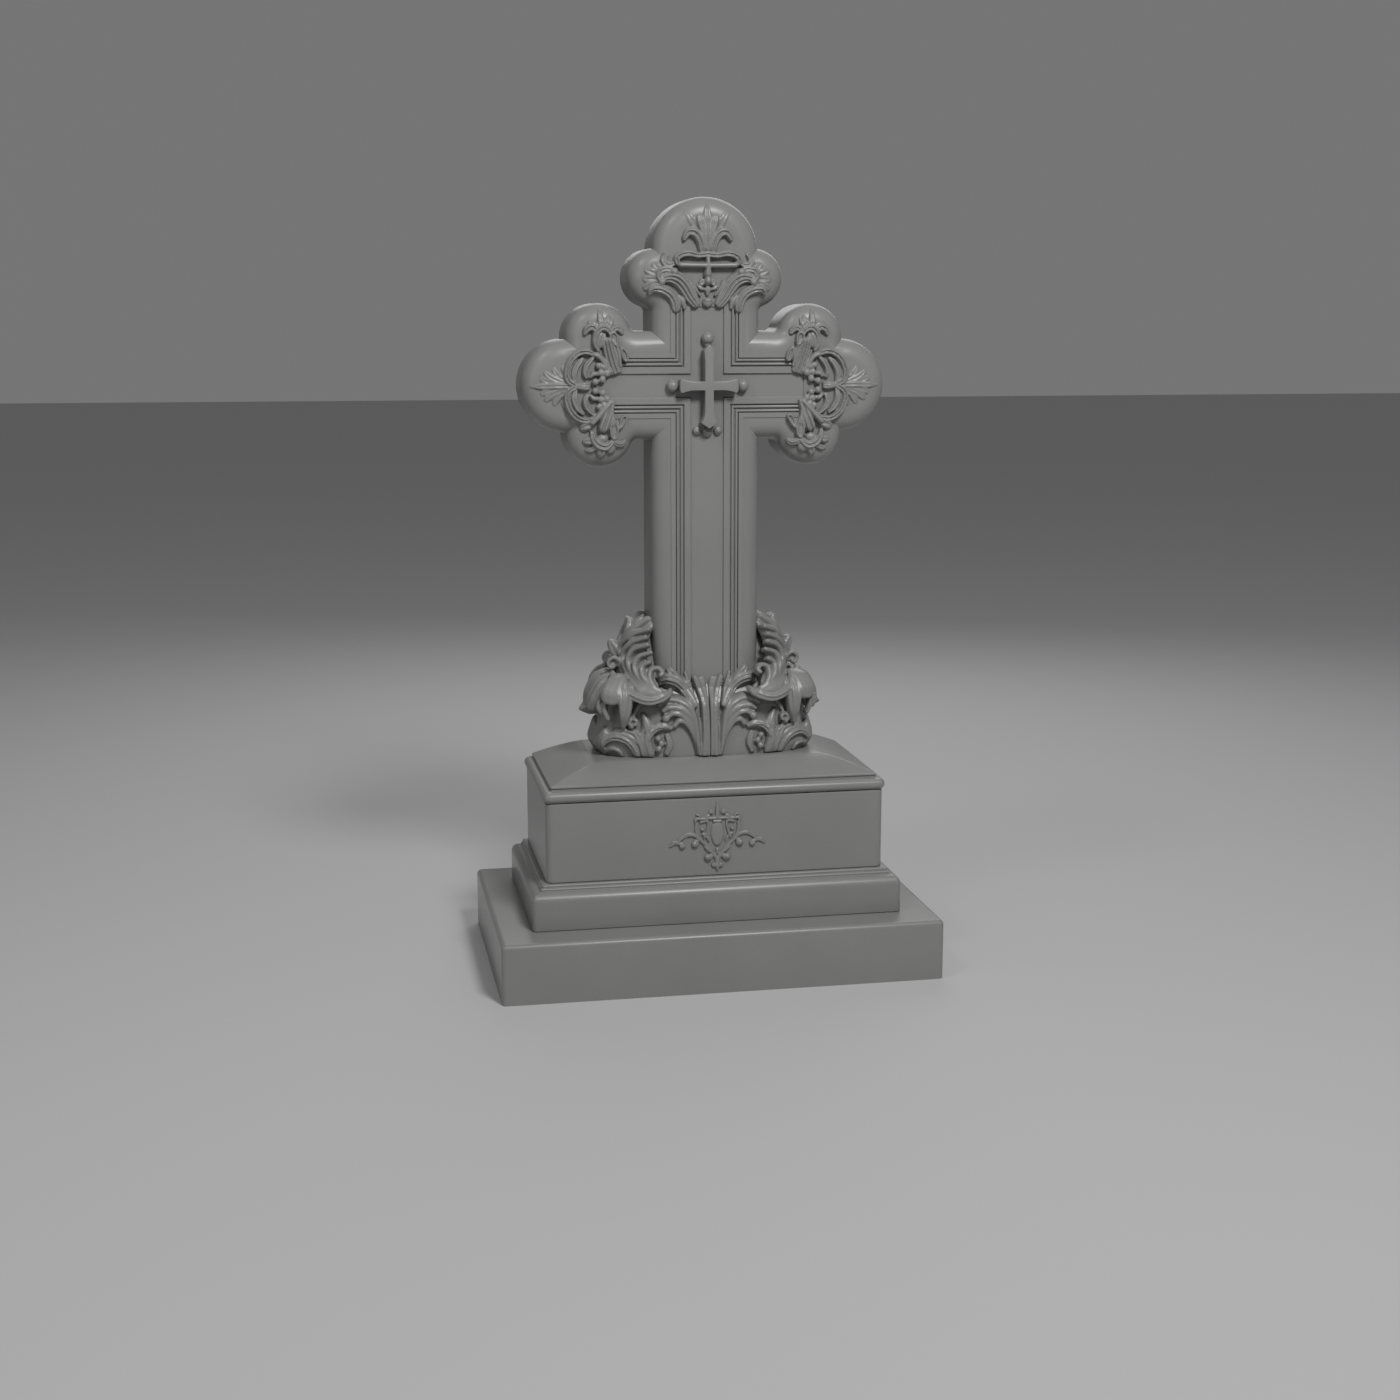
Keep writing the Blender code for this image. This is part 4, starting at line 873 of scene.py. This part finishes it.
def layTall(path, out=0.0, tipOut=0.0):
    points, looks = [], []
    for i, (u, v) in enumerate(path):
        share = (v - tall["low"]) / (tall["high"] - tall["low"])
        reach, front = between(tall["reach"], share) - tall["inner"], between(tall["front"], share)
        across = min(max((u - tall["inner"]) / reach, 0.0), tall["widest"])
        deep = math.sqrt(1 - across ** 2)
        look = Vector((across / reach, -deep / front, 0)).normalized() + Vector((0, 0, tall["lean"]))
        look.normalize()
        lift = out + tipOut * (i / (len(path) - 1)) ** 2
        points.append((u + look.x * lift, v + look.z * lift, -front * deep + look.y * lift))
        looks.append(tuple(look))
    return points, looks


def tallLeaf(side):
    def lobe(path, half, rise, tubes=1, groove=0.5, out=0.0, tipOut=0.0, root=12):
        points, looks = layTall(path, out, tipOut)
        side.leaf(points, half, rise, tubes, groove, facing=looks, root=root)

    # the blade, the roll at its foot, then tube over tube
    lobe([(112, 140), (136, 172), (142, 204), (134, 240), (114, 272)], [12, 16, 17, 14, 8], [3] * 5,
         out=-5)
    lobe([(140, 140), (158, 176), (157, 212), (147, 244), (122, 274)], [14, 18, 18, 16, 9], [3] * 5,
         out=-5)
    lobe([(92, 134), (120, 136), (150, 146), (170, 164)], [6, 12, 14, 10], [4] * 4, out=-2)
    for half, *path in (
            (6, (98, 138), (114, 146), (122, 162), (118, 178), (105, 182), (98, 173), (105, 166)),
            (6.5, (100, 134), (120, 145), (134, 166), (132, 184), (116, 195)),
            (6.5, (98, 131), (126, 143), (146, 174), (139, 200), (112, 213)),
            (7, (96, 129), (132, 140), (155, 182), (147, 212), (117, 228)),
            (7, (94, 128), (138, 139), (162, 190), (151, 224), (119, 242)),
            (7, (92, 128), (144, 139), (165, 202), (147, 240), (113, 258))):
        lobe(path, [0.6 * half, half, half, half, 0.85 * half], [6, 10, 11, 11, 10], out=1, tipOut=5)
    lobe([(92, 129), (150, 142), (170, 184), (165, 216), (146, 252), (110, 280)], [4, 7, 8, 9, 10, 7],
         [6, 8, 9, 11, 11, 8], 2, 0.5, out=1, tipOut=2)
    lobe([(160, 224), (152, 248), (146, 264), (146, 275)], [6, 8, 8, 6], [8, 9, 9, 7], 2, 0.5,
         out=3, tipOut=3)
    rim = [(80, 138, -110), (97, 127, -117), (128, 120, -118), (160, 130, -106), (184, 150, -80),
           (198, 170, -54)]
    side.leaf(rim, [7, 9, 9.5, 9, 8, 8.5], [10, 11, 11, 10, 9, 10], 2, 0.55,
              facing=(0.35, -1, -0.25), root=16)
    # leaf and curl behind it
    side.leaf([(168, 186, -14), (180, 208, -10), (190, 229, -8)], [9, 13, 8], [8, 9, 6], 2, 0.5,
              facing=(0.5, -0.9, 0.1), root=12)
    side.bead(187, 185, 10, depth=-24)
    coil = [(176, 174, -30), (175, 189, -36), (187, 198, -36), (198, 188, -34), (192, 176, -36),
            (185, 181, -40)]
    side.leaf(coil, [5, 4.5, 4], [6, 6, 5], facing=(0.45, -1, 0.05), root=6)


# The hoods that hang out over each end of the foot, between its front and back.
def footEnds(side):
    for turn in (1, -1):
        look = (0.9, -turn * 0.55, 0.5)
        side.leaf([(184, 164, -turn * 36), (210, 146, -turn * 42), (227, 118, -turn * 40),
                   (240, 92, -turn * 34)], [18, 24, 24, 14], [9, 12, 11, 6], 3, 0.35, facing=look, root=26)
        inner = (0.45, -turn * 1.0, 0.4)
        side.leaf([(180, 170, -turn * 62), (188, 158, -turn * 82), (200, 136, -turn * 97),
                   (205, 112, -turn * 103)], [14, 21, 24, 23], [8, 12, 12, 9], 3, 0.08, facing=inner,
                  root=12, ends=(1, 0.85))
        side.leaf([(214, 116, -turn * 84), (213, 96, -turn * 86), (205, 76, -turn * 86)], [5, 6, 5],
                  [7, 8, 7], facing=(0.3, -turn * 1.0, 0), root=10)
        side.leaf([(222, 122, -turn * 78), (224, 104, -turn * 78), (219, 88, -turn * 78)], [5, 6, 4],
                  [7, 8, 6], facing=(0.6, -turn * 1.0, 0), root=10)
        side.leaf([(207, -4, turn * 50), (219, 24, turn * 60), (214, 46, turn * 66), (211, 60, turn * 56)],
                  [10, 14, 12, 5], [6, 8, 8, 6], 3, 0.5, facing=(1, turn * 0.4, 0.1), root=12)
    side.leaf([(188, 163, 0), (214, 148, 0), (230, 120, 0), (240, 99, 0), (256, 85, 0)],
              [24, 34, 34, 27, 14], [8, 10, 9, 6, 3], 5, 0.45, facing=(1, 0, 0.55), root=30)
    # upright leaves that close the side, above the hoods and below them
    side.leaf([(174, 172, 0), (161, 205, 0), (155, 232, 0), (143, 258, 0), (119, 280, 0)],
              [14, 20, 20, 16, 8], [5, 6, 6, 6, 4], 3, 0.5, facing=(1, 0, 0.35), root=14)
    side.leaf([(217, -4, 0), (231, 26, 0), (225, 54, 0), (221, 72, 0)], [22, 30, 24, 8], [5, 7, 7, 6],
              5, 0.6, facing=(1, 0, 0.1), root=14)


def makeFoot(bodyGround):
    core = footCore()
    bmesh.ops.recalc_face_normals(core, faces=core.faces)
    coreFront = frontOf(core, 0)

    def ground(x, z):
        return min(coreFront(x, z), bodyGround(x, z))

    finishPiece("footCore", core, "cross", crease=50)
    for turn, name in ((1, "footLeavesRight"), (-1, "footLeavesLeft")):
        relief = bmesh.new()
        carving = Carving(relief, ground, (0, bedZ), turn)
        footSide(carving, True)
        footEnds(carving)
        finishCarving(name, relief, foot["voxel"], floor=bedZ)
    relief = bmesh.new()
    for turn in (1, -1):
        footSide(Carving(relief, ground, (0, bedZ), turn), False)
    bmesh.ops.scale(relief, vec=(1, -1, 1), verts=relief.verts)
    bmesh.ops.reverse_faces(relief, faces=relief.faces)
    finishCarving("footLeavesBack", relief, foot["backVoxel"], floor=bedZ)


# cartouche: a plain shield among scrolls on the front of the die

cartouche = dict(relief=6.0, rise=6.0, voxel=0.0012)


def makeCartouche():
    centreZ = (dieLow.z + dieHigh.z) / 2
    relief = bmesh.new()
    faceY = dieLow.y + cartouche["relief"] * mm
    top = cartouche["rise"]

    def face(x, z):
        return faceY

    middle = Carving(relief, face, (0, centreZ))
    middle.leaf([(0, 36), (0, 56), (0, 74)], [5, 5, 2], [top, top, 0.6 * top])
    middle.leaf([(0, -44), (0, -60), (0, -74)], [6, 6, 2], [top, top, 0.6 * top])
    middle.leaf([(-40, 38), (0, 39), (40, 38)], [4, 3.5, 4], [top] * 3)
    middle.leaf([(0, 30), (0, 6), (0, -20)], [13, 15, 9], [0.95 * top] * 3)  # plain oval field
    middle.leaf([(-11, 32), (11, 32)], [3, 3], [0.9 * top] * 2)
    middle.leaf([(0, -22), (0, -38)], [5, 2.5], [0.9 * top] * 2, 2, 0.5)
    for turn in (1, -1):
        half = Carving(relief, face, (0, centreZ), turn)
        half.leaf([(34, 38), (44, 38), (46, 29)], [3.5, 4, 3], [top] * 3)
        half.leaf([(34, 40), (38, 46), (46, 47)], [3, 3, 1.5], [top] * 3)
        half.leaf([(43, 32), (43, 12), (34, -6), (18, -22), (0, -48)], [3.5, 4, 4, 4, 4], [top] * 5, 2, 0.4)
        half.leaf([(38, 30), (20, 32), (22, 12), (28, -4)], [2.5, 3, 3, 2.5], [0.9 * top] * 4)
        half.leaf([(16, -12), (20, -2), (24, 0)], [2.5, 3, 2], [0.9 * top] * 3)
        half.bead(31, 16, 4.5, out=0.3)
        half.bead(29, 6, 4, out=0.3)
        half.curl(12, 51, 5.5, 2.4, top, -60)
        half.leaf([(14, 44), (22, 44), (26, 40)], [3, 3.5, 2], [top] * 3)
        half.leaf([(34, -8), (46, 4), (62, 6), (77, -3), (84, -14)], [3.5, 4.5, 5, 4.5, 3], [top] * 5,
                  2, 0.5)
        half.curl(47, -14, 8.5, 3, top, 70, 430)
        half.curl(73, -17, 7.5, 2.8, top, 10, 400)
        half.leaf([(82, -6), (92, -12), (100, -19)], [4, 4.5, 2], [top, 0.8 * top, 0.5 * top], 2, 0.5)
        half.bead(91, -8, 3.5, out=0.2)
        half.curl(20, -42, 9, 3, top, 120, 430)
        half.curl(8, -58, 5, 2.4, top, 120, 380)
        half.leaf([(28, -18), (20, -26), (12, -32)], [3, 4, 3], [top] * 3)
    finishCarving("cartouche", relief, cartouche["voxel"], "die_block")


# floor, light and the order of work

studio = dict(floorGrey=0.55, floorRoughness=0.8, floorHalf=30.0, worldGrey=0.60, worldStrength=0.30,
              aim=(0, 0, 0.8),  # where the lamps point
              lamps=(((0.7, -3.0, 3.7), 130, 0.8), ((-2.6, -2.6, 2.2), 12, 2.0), ((0.8, 2.8, 2.8), 36, 2.4),
                     ((-1.9, -1.6, 3.8), 16, 0.5)))  # place, watts and width of each


def makeStudio():
    bm = bmesh.new()
    bmesh.ops.create_grid(bm, x_segments=1, y_segments=1, size=studio["floorHalf"])
    floor = meshObject("floor", bm)
    paint = Paint("paleFloor")
    grey = studio["floorGrey"]
    paint.feed(paint.shader, {"Base Color": (grey, grey, grey, 1), "Roughness": studio["floorRoughness"]})
    floor.data.materials.append(paint.material)
    for place, power, size in studio["lamps"]:
        lamp = addObject("lamp", bpy.data.lights.new("lamp", "AREA"))
        lamp.location = place
        lamp.rotation_euler = (Vector(place) - Vector(studio["aim"])).to_track_quat("Z", "Y").to_euler()
        lamp.data.energy, lamp.data.size = power, size
    world = bpy.data.worlds.new("softRoom")
    bpy.context.scene.world = world
    world.use_nodes = True
    glow = world.node_tree.nodes["Background"]
    tone = studio["worldGrey"]
    glow.inputs["Color"].default_value = (tone, tone, tone, 1)
    glow.inputs["Strength"].default_value = studio["worldStrength"]


print("camera and studio")
placeCamera()
makeStudio()
greyStone = makeStone()
print("plinth")
makeSlab()
makeCourse()
makeDie()
makeCap()
makeCartouche()
print("cross")
bodyGround = makeBody()
makeMouldings()
makeCrosslet()
print("carved ends")
carveCrown(bodyGround)
carveArmEnd(bodyGround, 1, "rightArmCarving")
carveArmEnd(bodyGround, -1, "leftArmCarving")
print("foot")
makeFoot(bodyGround)
